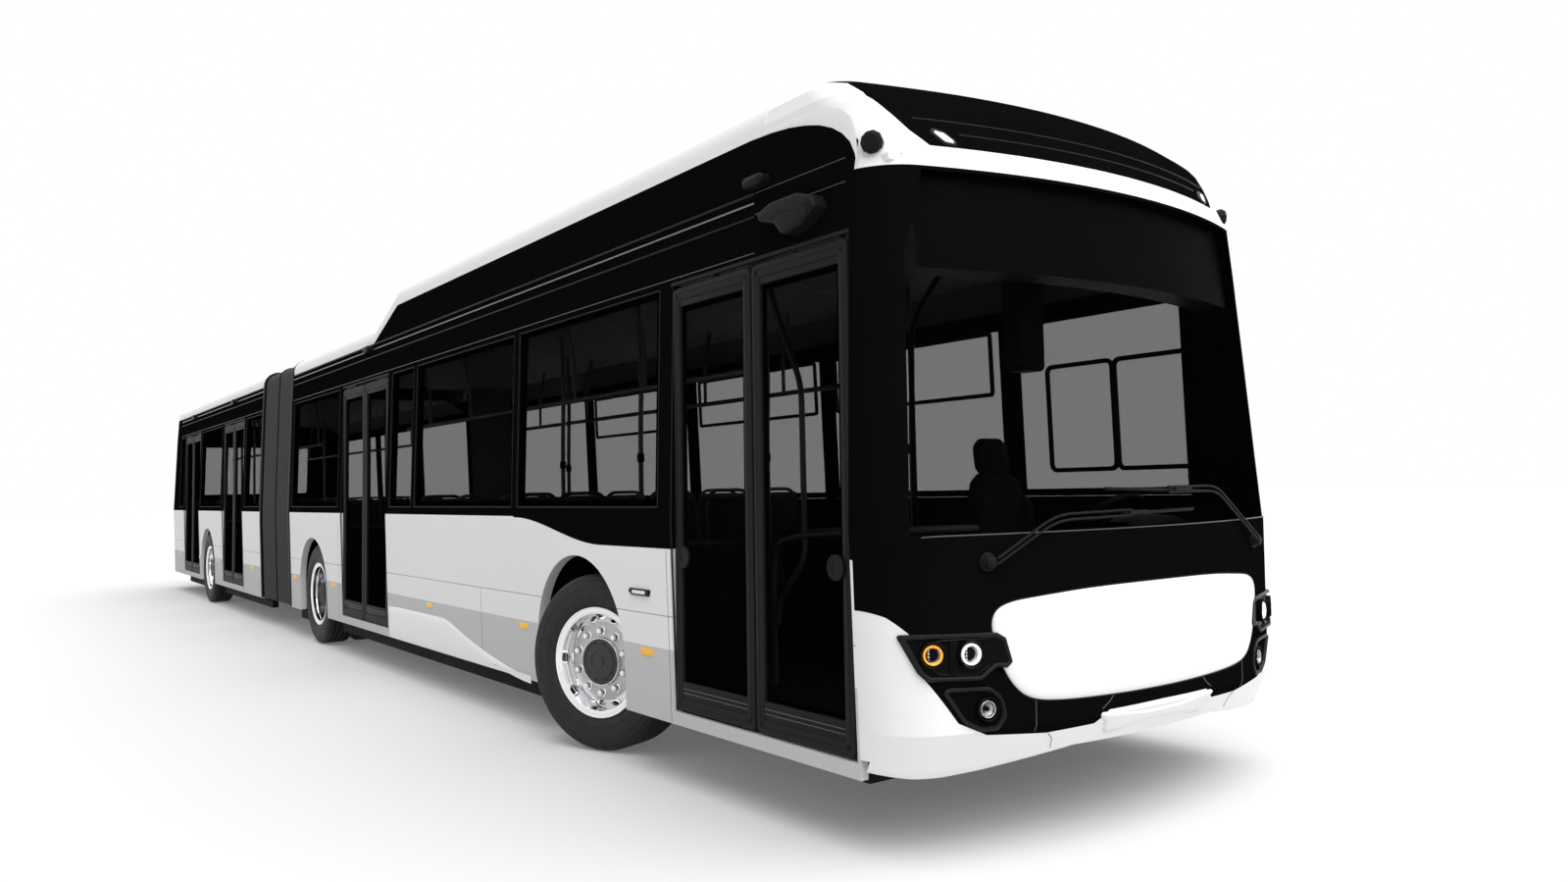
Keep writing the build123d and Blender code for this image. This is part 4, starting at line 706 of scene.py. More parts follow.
# Doorways: seals at the sides and the top, and an edge along the sill
for door, middle, _ in DOORS:
    body = body_at(middle)
    trim, step = Form(), Form()
    for u in (middle - DOOR_HALF + 0.005, middle + DOOR_HALF - 0.005):
        trim.band([right_side(u, z, -0.012) for z in (0.36, 0.8, 1.25, 1.8, 2.4)], (0, -1, 0),
                  chamfered(0.008, 0.007))
    trim.band([right_side(u, 2.402, -0.004) for u in (middle - DOOR_HALF, middle + DOOR_HALF)], (0, -1, 0),
              chamfered(0.016, 0.006))
    trim.done(door + "_seals", rubber, body, "black_panel")
    step.band([right_side(u, 0.3535, -0.018) for u in (middle - DOOR_HALF + 0.01, middle + DOOR_HALF - 0.01)],
              (0, 0, 1), [(-0.011, 0), (-0.011, 0.003), (0.011, 0.003), (0.011, 0)])
    step.done(door + "_sill", alloy, body, "chassis")

# Side windows: rubber seals and printed black borders (side, front end, rear end)
WINDOWS = [(-1, 1.93, 3.665), (-1, 3.735, 5.6), (-1, 5.665, 6.21), (-1, 7.735, 9.5), (1, 0.64, 1.85),
           (1, 1.93, 3.665), (1, 3.735, 5.6), (1, 5.665, 7.6), (1, 7.67, 9.5), (-1, 11.06, 11.93),
           (-1, 13.48, 15.06), (-1, 16.56, 16.96), (1, 11.06, 12.94), (1, 13.01, 14.9), (1, 14.97, 16.96)]
LOW, HIGH = 1.32, 2.4
SEAL = [(0.0, -0.012), (0.0, -0.0015), (0.002, 0.0), (0.006, 0.0), (0.008, -0.0025), (0.008, -0.012)]
BORDER = [(0.004, -0.0125), (0.004, -0.0115), (0.045, -0.0115), (0.045, -0.0125)]
for body in ("front_body", "rear_body"):
    seals, borders = Form(), Form()
    for side, u0, u1 in WINDOWS:
        if body_at(u0) != body:
            continue
        at = beside(side)
        seals.frame(box_outline(u0 + 0.002, u1 - 0.002, LOW + 0.002, HIGH - 0.002, 0.012), SEAL, at)
        borders.frame(box_outline(u0, u1, LOW, HIGH, 0.03), BORDER, at)
    seals.done("window_seals_" + body, rubber, body, "black_panel")
    borders.done("window_borders_" + body, black_gloss, body, "black_panel")

# Long lines of the body: roof rails, gutter, seams, and the marker lamps low down
for body, spans in (("front_body", (1.12, 9.56)), ("rear_body", (10.99, 16.95))):
    rails, bright, lines = Form(), Form(), Form()
    for side in (-1, 1):
        at = beside(side)
        out = (0, side, 0)
        for form, z, w, wide, high in ((rails, 2.59, -0.001, 0.01, 0.006),
                                       (bright, 2.65, -0.001, 0.009, 0.008),
                                       (rails, 2.692, -0.001, 0.012, 0.006),
                                       (lines, 2.43, -0.0005, 0.004, 0.0015)):
            form.band([at(u, z, w) for u in evenly(*spans, 24)], out, chamfered(wide, high))
    rails.done("roof_rails_" + body, black_satin, body, "black_panel")
    if body == "front_body":
        for side in (-1, 1):
            for z in (2.6, 2.695):
                lines.band([beside(side)(u, z, -0.0005) for u in (0.5, 0.7, 0.9, 1.12)], (0, side, 0),
                           chamfered(0.003, 0.0012))
    bright.done("gutter_" + body, gutter_metal, body, "black_panel")
    lines.done("side_seams_" + body, seam_grey, body, "black_panel")
    markers = Form()
    for u in (2.08, 3.59, 5.29, 7.9, 9.37, 11.5, 13.71, 15.1, 16.91):
        if body_at(u) == body:
            for side in (-1, 1):
                markers.plate(box_outline(u - 0.062, u + 0.062, 0.59, 0.626, 0.014), beside(side), -0.002,
                              0.004, 0.003)
    markers.done("markers_" + body, amber, body, "lamp")


# Front face: everything here sits on the nose, at (y, z) seen from ahead
def mirrored(points, side, radius=0.02):
    """Rounded outline on one side of the middle."""
    return rounded([(side * p[0], *p[1:]) for p in points], radius)


def softened(points, passes=3):
    """Closed outline with its corners cut until it is smooth."""
    for _ in range(passes):
        points = [(a[0] * (1 - t) + b[0] * t, a[1] * (1 - t) + b[1] * t)
                  for a, b in zip(points, points[1:] + points[:1]) for t in (0.25, 0.75)]
    return points


def pillow(form, outline, levels, at=face_point):
    """Plate that follows a curved face: levels of (inset, scale about the middle, height)."""
    middle = centre_of(outline)
    form.grid([[at(*about(middle, p, scale), w) for p in shrink(outline, inset)]
               for inset, scale, w in levels], across=True)
    form.faces.append(tuple(range(len(form.verts) - len(outline), len(form.verts))))


# White flap between the lamps
FLAP = [(0.0, 0.992), (0.4, 0.988), (0.66, 0.97), (0.82, 0.955), (0.885, 0.915), (0.885, 0.83), (0.85, 0.725),
        (0.8, 0.64), (0.73, 0.585), (0.6, 0.565), (0.3, 0.558), (0.0, 0.556)]
flap_line = softened(FLAP + [(-y, z) for y, z in reversed(FLAP[1:-1])], 3)
flap = Form()
pillow(flap, flap_line, [(0.0, 1, -0.004), (0.0, 1, 0.002), (0.003, 1, 0.0065), (0.009, 1, 0.0095),
                         (0.018, 1, 0.0118), (0.03, 1, 0.0132), (0.045, 1, 0.014), (0.06, 0.9, 0.014),
                         (0.06, 0.72, 0.014), (0.06, 0.5, 0.014), (0.06, 0.28, 0.014), (0.06, 0.1, 0.014)])
flap.done("flap_panel", white_gloss, "front_body", "white_panel", 50, replaces=("front_flap",))
flap_gap = Form()
flap_gap.frame(flap_line, [(-0.006, 0.0008), (-0.006, 0.0018), (0.001, 0.0018), (0.001, 0.0008)], face_point)
flap_gap.done("flap_gap", black_satin, "front_body", "black_panel")

# Headlamp clusters
HOUSING = [(1.222, 0.853, 0.008), (1.159, 0.856, 0.03), (0.87, 0.847, 0.02), (0.832, 0.826, 0.012),
           (0.804, 0.731, 0.01), (0.829, 0.71, 0.01), (0.876, 0.716, 0.03), (0.937, 0.671, 0.04),
           (1.143, 0.68, 0.04), (1.17, 0.712, 0.03)]
RECESS = [(1.152, 0.79, 0.04), (1.112, 0.828, 0.05), (0.99, 0.828, 0.02), (0.853, 0.822, 0.01),
          (0.836, 0.752, 0.01), (0.883, 0.734, 0.02), (0.958, 0.694, 0.03), (1.11, 0.706, 0.05)]
FOG = [(1.09, 0.637, 0.02), (1.07, 0.653, 0.03), (0.9, 0.646, 0.05), (0.849, 0.604, 0.06),
       (0.828, 0.53, 0.05), (0.868, 0.48, 0.04), (0.945, 0.482, 0.06), (1.012, 0.518, 0.05)]
DECK_PLATES = [([(1.062, 0.7), (1.028, 0.7), (1.028, 0.822), (1.062, 0.824)], 0.008, 0.0, 0.008, 0.003),
               ([(0.93, 0.812), (0.862, 0.811), (0.846, 0.757), (0.88, 0.745), (0.918, 0.765)], 0.008, 0.0,
                0.006, 0.003), ([(1.05, 0.775), (1.04, 0.775), (1.04, 0.755), (1.05, 0.755)], 0.002, 0.006,
                                0.0095, 0.001)]
BEZEL = [(0.0, -0.003), (0.001, 0.012), (0.006, 0.018), (0.013, 0.019), (0.018, 0.016), (0.02, 0.001)]
LAMPS = [("ring", 0.127, 0.984, 0.773, 17, 0.04), ("amber", 0.181, 1.13, 0.778, 32, 0.037),
         ("fog", 0.12, 0.914, 0.563, 15, 0.034)]


def over_flap(u, v, w):
    """On the face, raised at the inner end where the housing lies over the flap."""
    t = min(1.0, max(0.0, (0.905 - abs(u)) / 0.03))
    return face_point(u, v, w + 0.0135 * t * t * (3 - 2 * t))


def glowing(name, colour, strength):
    tree = Tree(name)
    cloud = tree.noise(300.0)
    tree.set(Base_Color=tree.mix(cloud, colour, tuple(0.9 * c for c in colour)), Roughness=0.25,
             Emission_Color=colour)
    tree.shader.inputs["Emission Strength"].default_value = strength
    return tree.material


ring_white = glowing("ring_white", (0.95, 0.96, 1.0), 0.75)
ring_amber = glowing("ring_amber", (1.0, 0.42, 0.03), 0.55)
reflector = simple("reflector", (0.5, 0.5, 0.51), 0.18, metallic=1.0, noise=260.0, spread=0.35, grain=0.002)
dark_gloss = simple("dark_gloss", (0.004, 0.004, 0.0043), 0.14, specular=0.03, noise=20.0)
bezel_grey = simple("bezel_grey", (0.012, 0.012, 0.0125), 0.3, specular=0.08, noise=30.0)
for side, name in ((1, "left"), (-1, "right")):
    bezel, glow, amber_ring, bowls, lenses, deck = Form(), Form(), Form(), Form(), Form(), Form()
    housing = mirrored(HOUSING, side)
    levels = [(0.0, 1, -0.003), (0.001, 1, 0.0015)] + [(0.001, s / 5, 0.0015) for s in (4.5, 4, 3, 2, 1)]
    pillow(deck, shrink(housing, 0.008), levels, over_flap)
    bezel.frame(housing, BEZEL, face_point)
    bezel.frame(mirrored(RECESS, side), [(-0.004, 0.001), (-0.003, 0.0055), (0.001, 0.0065), (0.004, 0.001)],
                face_point)
    bezel.frame(mirrored(FOG, side), [(0.0, -0.003), (0.0, 0.006), (0.005, 0.011), (0.012, 0.01),
                                      (0.018, 0.001)], face_point)
    for points, edge, low, top, softness in DECK_PLATES:
        deck.plate(mirrored(points, side, edge), face_point, low, top, softness)
    for kind, setback, y, z, turn, radius in LAMPS:
        facing = Vector((math.cos(math.radians(turn)), side * math.sin(math.radians(turn)), 0))
        lens = spot(setback, side * y, z)

        def turned_ring(form, sides, *profile):
            form.lathe(lens, facing, [(part * radius, d) for part, d in profile], sides)

        turned_ring(deck, 48, (1.36, -0.02), (1.38, 0.003), (1.3, 0.0065), (1.2, 0.004), (1.1, -0.006),
                    (1.02, -0.012))
        turned_ring({"ring": glow, "amber": amber_ring, "fog": bowls}[kind], 48, (0.8, -0.01), (0.8, -0.002),
                    (0.85, 0.002), (0.92, 0.003), (0.99, 0.0), (1.0, -0.01))
        if kind != "fog":
            turned_ring(bowls, 40, (0.82, -0.01), (0.72, -0.013), (0.68, -0.009), (0.62, -0.013),
                        (0.5, -0.022))
            turned_ring(lenses, 32, (0.5, -0.022), (0.3, -0.016), (0.0, -0.014))
            around = facing.cross(Vector((0, 0, 1)))
            for k in range(4):
                at = lens + facing * -0.013 + Vector((0, 0, 0.012 * (k - 1.5))) + around * 0.42 * radius
                bowls.lathe(at, facing, [(0.0045, -0.006), (0.0045, 0.001), (0.0, 0.002)], 8)
        else:
            turned_ring(bowls, 40, (0.8, -0.01), (0.6, -0.018), (0.25, -0.024), (0.0, -0.025))
            turned_ring(lenses, 24, (0.3, -0.02), (0.28, -0.006), (0.0, -0.003))
    bezel.done("lamp_bezels_" + name, bezel_grey, "front_body", "dark_plastic", 35, replaces=("headlamps",))
    deck.done("lamp_decks_" + name, dark_gloss, "front_body", "dark_plastic", 30)
    glow.done("lamp_ring_" + name, ring_white, "front_body", "lamp")
    amber_ring.done("indicator_ring_" + name, ring_amber, "front_body", "lamp")
    bowls.done("lamp_bowls_" + name, reflector, "front_body", "lamp", 30)
    lenses.done("lamp_lenses_" + name, dark_gloss, "front_body", "lamp")

# Seams of the mask and the bumper, and the bulge for the plate
FRONT_SEAMS = [([(0.7, 0.455), (0.7, 0.48), (0.7, 0.52), (0.7, 0.575)], 0.004, 0.0012),
               ([(0.3, 0.558), (0.33, 0.53), (0.37, 0.505)], 0.004, 0.0012),
               ([(0.63, 0.44), (0.6, 0.415), (0.59, 0.375)], 0.0035, 0.001)]
seams = Form()
for side in (-1, 1):
    for points, wide, high in FRONT_SEAMS:
        seams.band([face_point(side * y, z, 0) for y, z in points], (1, 0, 0), chamfered(wide, high))
seams.band([face_point(y / 20, 1.213 if abs(y) < 23 else 1.21, 0.0) for y in range(-23, 24)],
           [face_out(y / 20, 1.213) for y in range(-23, 24)], chamfered(0.005, 0.0022))
seams.done("front_seams", seam_grey, "front_body", "black_panel")
plate = Form()
BULGE = [(0.4, 0.492, 0.03), (0.345, 0.45, 0.03), (0.33, 0.398, 0.03), (-0.33, 0.398, 0.03),
         (-0.345, 0.45, 0.03), (-0.4, 0.492, 0.03)]
pillow(plate, rounded(BULGE, 0.02, 4), [(0.0, 1, -0.002), (0.001, 1, 0.003), (0.006, 1, 0.008),
                                        (0.012, 1, 0.0095), (0.016, 0.7, 0.0095), (0.016, 0.3, 0.0095)])
plate.done("plate_bulge", white_gloss, "front_body", "white_panel", 40)

# Wipers: a boss, a cranked arm of two thin tubes and a blade
WIPERS = [(-1, [(0.875, 1.113), (0.6, 1.268), (0.2, 1.275)], [(0.24, 1.272), (-0.23, 1.277)]),
          (1, [(0.897, 1.112), (0.44, 1.362), (0.05, 1.363)], [(0.3, 1.352), (-0.33, 1.374)])]
wipers = Form()
for side, points, blade in WIPERS:
    y, z = points[0]
    out = face_out(side * y, z)
    at = face_point(side * 0.897, 1.11)
    wipers.lathe(at, out, [(0.0, -0.01), (0.036, -0.01), (0.036, 0.008), (0.033, 0.011), (0.028, 0.011),
                           (0.028, 0.016), (0.024, 0.02), (0.022, 0.034), (0.016, 0.039), (0.0, 0.04)], 32)
    for shift in (-0.011, 0.011):
        path = [face_point(side * u, v + shift * (1.0 if k else 0.9), 0.034)
                for k, (u, v) in enumerate(points)]
        wipers.tube(eased(path, 0.08), 0.0055, 8)
    wipers.tube([face_point(side * 0.215, points[-1][1], 0.034),
                 face_point(side * 0.1, points[-1][1], 0.031)], 0.011, 8, 0.7)
    first, last = (Vector((side * a, b)) for a, b in blade)
    for proud, radius, sides, wide in ((0.026, 0.008, 8, 0.8), (0.014, 0.0045, 6, 1.0)):
        wipers.tube([face_point(*first.lerp(last, t), proud) for t in evenly(0, 1, 12)], radius, sides, wide)
wipers.done("wiper_arms", black_satin, "front_body", "dark_plastic", 40, replaces=("wipers",))

# Corner caps, marker lamps and louvre lines of the visor
caps, marker_glass, marker_rims = Form(), Form(), Form()
for side in (-1, 1):
    out = (face_out(side * 1.155, 2.735) + Vector((0, side * 0.5, 0))).normalized()
    at = face_point(side * 1.155, 2.735)
    caps.lathe(at, out, [(0.0, -0.02), (0.036, -0.02), (0.04, 0.004), (0.043, 0.012), (0.047, 0.026),
                         (0.044, 0.038), (0.03, 0.046), (0.0, 0.048)], 10)
    lamp = [(side * 0.93, 2.815), (side * 0.87, 2.8), (side * 0.825, 2.748), (side * 0.885, 2.757)]
    marker_glass.plate(rounded(lamp, 0.012), face_point, -0.002, 0.01, 0.006)
    marker_rims.frame(rounded(lamp, 0.012), [(-0.014, -0.002), (-0.012, 0.004), (-0.004, 0.009),
                                             (0.001, 0.007), (0.001, -0.002)], face_point)
caps.done("corner_caps", black_satin, "front_body", "dark_plastic", 25)
marker_glass.done("marker_lamps", lamp_white, "front_body", "lamp")
marker_rims.done("marker_rims", bezel_grey, "front_body", "dark_plastic")
visor_lines = Form()
for z, reach in ((2.8, 0.8), (2.86, 0.98)):
    across = evenly(-reach, reach, 32)
    visor_lines.band([face_point(y, z) for y in across], [face_out(y, z) for y in across],
                     chamfered(0.006, 0.004))
visor_lines.done("visor_lines", bezel_grey, "front_body", "dark_plastic")

# Behind the windscreen: the face and the underside of the dark destination box
board = Form()
across = evenly(-1.06, 1.06, 24)
board.grid([[face_point(y, z, -0.05) for y in across] for z in evenly(2.245, 2.615, 6)])
board.grid([[face_point(y, 2.245, w) for y in across] for w in (-0.05, -0.2)])
board.done("destination_box", black_satin, "front_body", "dark_plastic")

# Inside: seats with tubular hoops, curved poles, the driver's place and the ceiling
SEATS = [("front", 3.55, 1, 1), ("front", 4.35, 1, 1), ("front", 5.15, 1, 1), ("front", 5.95, 1, 1),
         ("front", 3.75, -1, 1), ("front", 4.55, -1, 1), ("front", 5.35, -1, 1), ("front", 7.9, 1, -1),
         ("rear", 11.4, 1, 1), ("rear", 12.2, 1, 1), ("rear", 13.0, 1, 1), ("rear", 11.4, -1, 1),
         ("rear", 15.4, 1, 1), ("rear", 16.2, 1, 1), ("rear", 16.8, -1, 1)]
SEAT_WIDE = 0.43
SHELL = [(0.0, 0.398), (0.03, 0.392), (0.2, 0.384), (0.34, 0.381), (0.395, 0.392), (0.42, 0.44), (0.437, 0.6),
         (0.458, 0.85), (0.474, 1.0), (0.482, 1.05)]
CUSHION = [(0.012, 0.402, 0.0), (0.08, 0.405, 0.012), (0.2, 0.397, 0.014), (0.33, 0.392, 0.012),
           (0.385, 0.398, 0.0)]
BACK_PAD = [(0.405, 0.5, 0.0), (0.412, 0.56, 0.012), (0.424, 0.72, 0.014), (0.444, 0.92, 0.012),
            (0.462, 1.02, 0.0)]
shell_grey = simple("shell_grey", (0.03, 0.03, 0.031), 0.42, specular=0.2, noise=60.0, grain=0.0002)
hoop_steel = simple("hoop_steel", (0.045, 0.045, 0.046), 0.3, specular=0.35, noise=50.0)
for body in ("front", "rear"):
    cushions, shells, hoops = Form(), Form(), Form()
    for row, front, side, facing in SEATS:
        if row != body:
            continue
        wall = side * (half_width(FLOOR_TOP) - 0.075)
        for place in (0, 1):
            inner = wall - side * SEAT_WIDE * (place + 1) + side * 0.008
            outer = wall - side * SEAT_WIDE * place - side * 0.008
            middle = (inner + outer) / 2
            half = abs(outer - inner) / 2

            def at(d, y, z):
                return spot(front + facing * d, middle + y, FLOOR_TOP + z)

            # Seat shell: cushion pan and back as one curved sheet
            rows = []
            for d, z in SHELL:
                hollow = 0.012 if 0.05 < d < 0.4 else 0.01
                width = half * (0.95 if z < 0.95 else 0.88 if z > 1.03 else 0.93)
                rows.append([at(d - (0.012 * s**2 if z > 0.45 else 0), width * s,
                                z + (hollow * s**2 if z < 0.45 else 0)) for s in evenly(-1, 1, 8)])
            under = [[Vector(p) + Vector((facing * -0.014 if i > 4 else 0, 0, -0.014 if i <= 4 else 0))
                      for p in r] for i, r in enumerate(rows)]
            shells.grid(rows + under[::-1], along=True)
            # Cushion and back pad: crowned, with a rounded edge
            for pad in (CUSHION, BACK_PAD):
                flat = pad[0][1] < 0.45
                rows = []
                for d, z, crown in pad:
                    raised = [(s, (0.006 + crown) * (1 - abs(s)**5)) for s in evenly(-1, 1, 12)]
                    rows.append([at(d - (0 if flat else lift), 0.86 * half * s, z + (lift if flat else 0))
                                 for s, lift in raised])
                cushions.grid(rows)
        # Foot and hoop along the aisle and over the back
        a, b = wall - side * 0.01, wall - side * 2 * SEAT_WIDE + side * 0.02
        mid = (a + b) / 2

        def bar(d, y, z):
            return spot(front + facing * d, y, FLOOR_TOP + z)

        shells.tube([bar(0.215, mid, 0.0), bar(0.215, mid, 0.38)], 0.03, 16)
        shells.tube([bar(0.215, a, 0.372), bar(0.215, b, 0.372)], 0.018, 10)
        for y0, y1 in ((a, mid + side * 0.012), (mid - side * 0.012, b)):
            hoops.tube(eased([bar(0.43, y0, 0.42), bar(0.478, y0, 0.95), bar(0.492, y0 - side * 0.05, 1.075),
                              bar(0.492, y1 + side * 0.05, 1.075), bar(0.478, y1, 0.95), bar(0.43, y1, 0.42)],
                             0.07, 6), 0.0135, 10)
    ride = body + "_body"
    shells.done("seat_shells_" + body, shell_grey, ride, "seat_shell", 40, replaces=(body + "_seats",))
    cushions.done("seat_pads_" + body, seat_fabric, ride, "seat_shell", 60)
    hoops.done("seat_hoops_" + body, hoop_steel, ride, "pole", 50)

# Saloon poles: straight ones at the CAD's places with collars, and curved branches to the ceiling
POLES = [(2.08, 0.56), (2.08, -0.56), (3.48, 0.5), (3.48, -0.5), (4.28, 0.29), (5.08, -0.29), (5.9, -0.29),
         (6.2, 0.29), (7.7, -0.56), (7.96, 0.52)]
poles, collars = Form(), Form()
UPRIGHT = (0, 0, 1)
for d, y in POLES:
    poles.tube(eased([spot(d, y, FLOOR_TOP), spot(d, y, 1.75), spot(d - 0.03, y, 2.2), spot(d, y, CEILING)],
                     0.25), TUBE, 12)
    collars.lathe(spot(d, y, FLOOR_TOP), UPRIGHT, [(0.045, 0.0), (0.045, 0.006), (0.03, 0.014),
                                                   (0.0175, 0.02)], 20)
    for z in (0.95, 1.62):
        collars.lathe(spot(d, y, z), UPRIGHT, [(TUBE, -0.03), (0.024, -0.024), (0.024, 0.024), (TUBE, 0.03)],
                      16)


def hand_rail(form, y, places, hangers, outward, height=2.05):
    """Rail under the ceiling, hung on thin tubes that lean outwards at their tops."""
    form.tube([spot(d, y, height) for d in places], TUBE, 12)
    for d in hangers:
        form.tube([spot(d, y, height), spot(d, y, 2.32), spot(d, y * outward, CEILING)], 0.013, 10)


for y in (-0.56, 0.52):
    hand_rail(poles, y, (2.1, 5.0, 7.95), (3.3, 4.3, 5.3, 6.3, 7.3), 1.1)
poles.done("pole_tubes", pole_steel, "front_body", "pole", 50, replaces=("front_poles",))
collars.done("pole_collars", black_satin, "front_body", "pole", 40)
rails = Form()
for y in (-0.56, 0.56):
    hand_rail(rails, y, (11.1, 16.6), (11.3, 12.3, 13.4, 14.5, 15.6, 16.5), 1.08)
for d, y in ((11.9, 0.42), (13.4, -0.56), (15.0, -0.56), (15.0, 0.42), (16.5, -0.45)):
    rails.tube([spot(d, y, FLOOR_TOP), spot(d, y, CEILING)], TUBE, 12)
rails.done("rear_poles", pole_steel, "rear_body", "pole", 50)

# Bent rails behind the first door: one from the ceiling, one from the driver's cabin to the floor
grabs = Form()
for path in (((2.16, 2.59), (2.14, 2.45), (1.896, 1.95), (1.896, 1.03), (2.13, 0.79), (2.15, 0.66)),
             ((1.25, 1.185), (1.97, 1.143), (2.15, 1.1), (2.187, 0.95), (2.187, 0.33))):
    grabs.tube(eased([spot(u, -0.4, z) for u, z in path], 0.09), TUBE, 12)
grabs.tube(eased([spot(1.0, 0.0, 1.19), spot(1.12, -0.3, 1.19), spot(1.26, -0.4, 1.1845)], 0.1), TUBE, 12)
grabs.done("door_grab_rails", pole_steel, "front_body", "pole", 50)

# Driver's seat: padded cushion, back, wings and head rest on a suspended base
DRIVER_Y = 0.64


def puffed(outline, thick, bulge, at, name, material):
    """Padded form: a rounded outline with crowned faces and a seam between them."""
    form = Form()
    middle = centre_of(outline)
    levels = [(0.12, 1.0), (0.3, 0.985), (0.55, 0.93), (0.8, 0.8), (0.93, 0.6), (1.0, 0.3), (1.0, 0.08)]
    rings = []
    for side in (1, -1):
        rows = []
        for depth, scale in levels:
            w = side * (thick / 2 * min(1, depth * 1.6) + bulge * depth * (1 - scale**2))
            rows.append([at(*about(middle, p, scale), w) for p in outline])
        rings.append(rows)
    form.grid(rings[1][::-1] + rings[0], across=True)
    count = len(outline)
    form.faces.append(tuple(range(count)))
    form.faces.append(tuple(range(len(form.verts) - count, len(form.verts))))
    piece = form.done(name, material, "front_body", "seat_shell", 75)
    return piece


def seat_back(u, v, w):
    """u across, v along the reclined back, w out of it to the front."""
    lean = Vector((-0.145, 0, 0.99)).normalized()
    return spot(1.418, DRIVER_Y, 0.86) + lean * v + Vector((0, u, 0)) + Vector((0.99, 0, 0.145)) * w


def seat_pan(u, v, w):
    return spot(0.965 + v, DRIVER_Y + u, 0.842 + 0.02 * (0.4 - v) / 0.4 + w)


driver_fabric = simple("driver_fabric", (0.01, 0.01, 0.011), 0.8, specular=0.1, noise=260.0, spread=0.5,
                       grain=0.0008)
puffed(rounded([(-0.235, 0.0), (0.235, 0.0), (0.225, 0.4), (-0.225, 0.4)], 0.06), 0.055, 0.016, seat_pan,
       "driver_cushion", driver_fabric)
puffed(rounded([(-0.235, 0.03), (0.235, 0.03), (0.232, 0.38), (0.19, 0.56), (0.12, 0.61), (-0.12, 0.61),
                (-0.19, 0.56), (-0.232, 0.38)], 0.07), 0.05, 0.016, seat_back, "driver_back", driver_fabric)
puffed(rounded([(-0.13, 0.6), (0.13, 0.6), (0.125, 0.76), (0.08, 0.805), (-0.08, 0.805), (-0.125, 0.76)],
               0.05), 0.045, 0.014, seat_back, "driver_head_rest", driver_fabric)
for side, name in ((1, "left"), (-1, "right")):
    puffed(rounded([(side * 0.165, 0.1), (side * 0.238, 0.08), (side * 0.238, 0.44), (side * 0.175, 0.5)],
                   0.03), 0.03, 0.016, lambda u, v, w: seat_back(u, v, w + 0.028), "driver_wing_" + name,
           driver_fabric)
base = Form()
base.plate(box_outline(-0.2, 0.2, 0.03, 0.37, 0.05), seat_pan, -0.06, -0.03, 0.008)
SEAT_FOOT = [(0.19, 0.0), (0.19, 0.02), (0.16, 0.04), (0.155, 0.42), (0.17, 0.45), (0.17, 0.46)]
base.lathe(spot(1.22, DRIVER_Y, FLOOR_TOP), UPRIGHT, SEAT_FOOT, 36)
for k in range(5):
    base.lathe(spot(1.22, DRIVER_Y, FLOOR_TOP + 0.1 + 0.06 * k), UPRIGHT,
               [(0.155, -0.02), (0.168, 0.0), (0.155, 0.02)], 36)
base.plate(rounded([(-0.21, 0.05), (0.21, 0.05), (0.2, 0.5), (-0.2, 0.5)], 0.05), seat_back, -0.045, -0.03,
           0.008)
for side in (-1, 1):
    base.tube(eased([seat_back(side * 0.236, 0.2, -0.02), seat_back(side * 0.236, 0.2, 0.05),
                     seat_back(side * 0.236, 0.18, 0.2)], 0.04), 0.018, 10, 0.8)
base.done("driver_seat_base", black_satin, "front_body", "seat_shell", 40, replaces=("driver_seat",))

# Dashboard: steering wheel with three spokes, binnacle, screen and shelf
wheel_axis = Vector((-0.6, 0, 0.8))
wheel_at = spot(0.76, DRIVER_Y, 1.19) + wheel_axis * 0.013
dash = Form()
ring = [(0.212 + 0.0135 * math.cos(a), 0.0135 * math.sin(a)) for a in turns(12)]
dash.lathe(wheel_at, wheel_axis, ring, 56, along=True)
dash.lathe(wheel_at, wheel_axis, [(0.0, 0.012), (0.05, 0.01), (0.062, 0.0), (0.06, -0.03), (0.0, -0.04)], 32)
wheel_u = Vector((0, 1, 0))
wheel_v = wheel_axis.cross(wheel_u)
for angle in (0.0, math.pi, -math.pi / 2):
    ray = wheel_u * math.cos(angle) + wheel_v * math.sin(angle)
    dash.tube([wheel_at + ray * 0.05, wheel_at + ray * 0.12 - wheel_axis * 0.006, wheel_at + ray * 0.208],
              0.012, 10, 0.6)
dash.tube([wheel_at - wheel_axis * 0.03, wheel_at - wheel_axis * 0.25], 0.03, 20)
rows = []
for u, v in ((0.3, 1.09), (0.36, 1.16), (0.46, 1.235), (0.56, 1.24), (0.62, 1.21), (0.635, 1.12),
             (0.64, 1.085)):
    rows.append([spot(u, DRIVER_Y + 0.26 * s * (1 - 0.12 * (v > 1.2)), v - 0.03 * abs(s)**3)
                 for s in evenly(-1, 1, 16)])
dash.grid(rows)


def screen_at(u, v, w):
    """On the instrument screen, which leans back."""
    return spot(0.632 - v * 0.15 + w, DRIVER_Y + u, 1.115 + v)


dash.plate(box_outline(-0.2, 0.2, 0.0, 0.09, 0.02), screen_at, 0.0, 0.006, 0.004)
dash.grid([[face_point(y, 1.166, -0.063 - d) for y in evenly(-1.12, 1.12, 32)] for d in (0.0, 0.1, 0.2, 0.3)])
for y in (-0.8, -0.2, 0.35):
    dash.plate(box_outline(-0.16, 0.16, 0.0, 0.03, 0.008), lambda u, v, w: spot(0.32 - v, y + u, 1.168 + w),
               0.0, 0.006, 0.003)
dash.done("dash_details", black_satin, "front_body", "dark_plastic", 40)

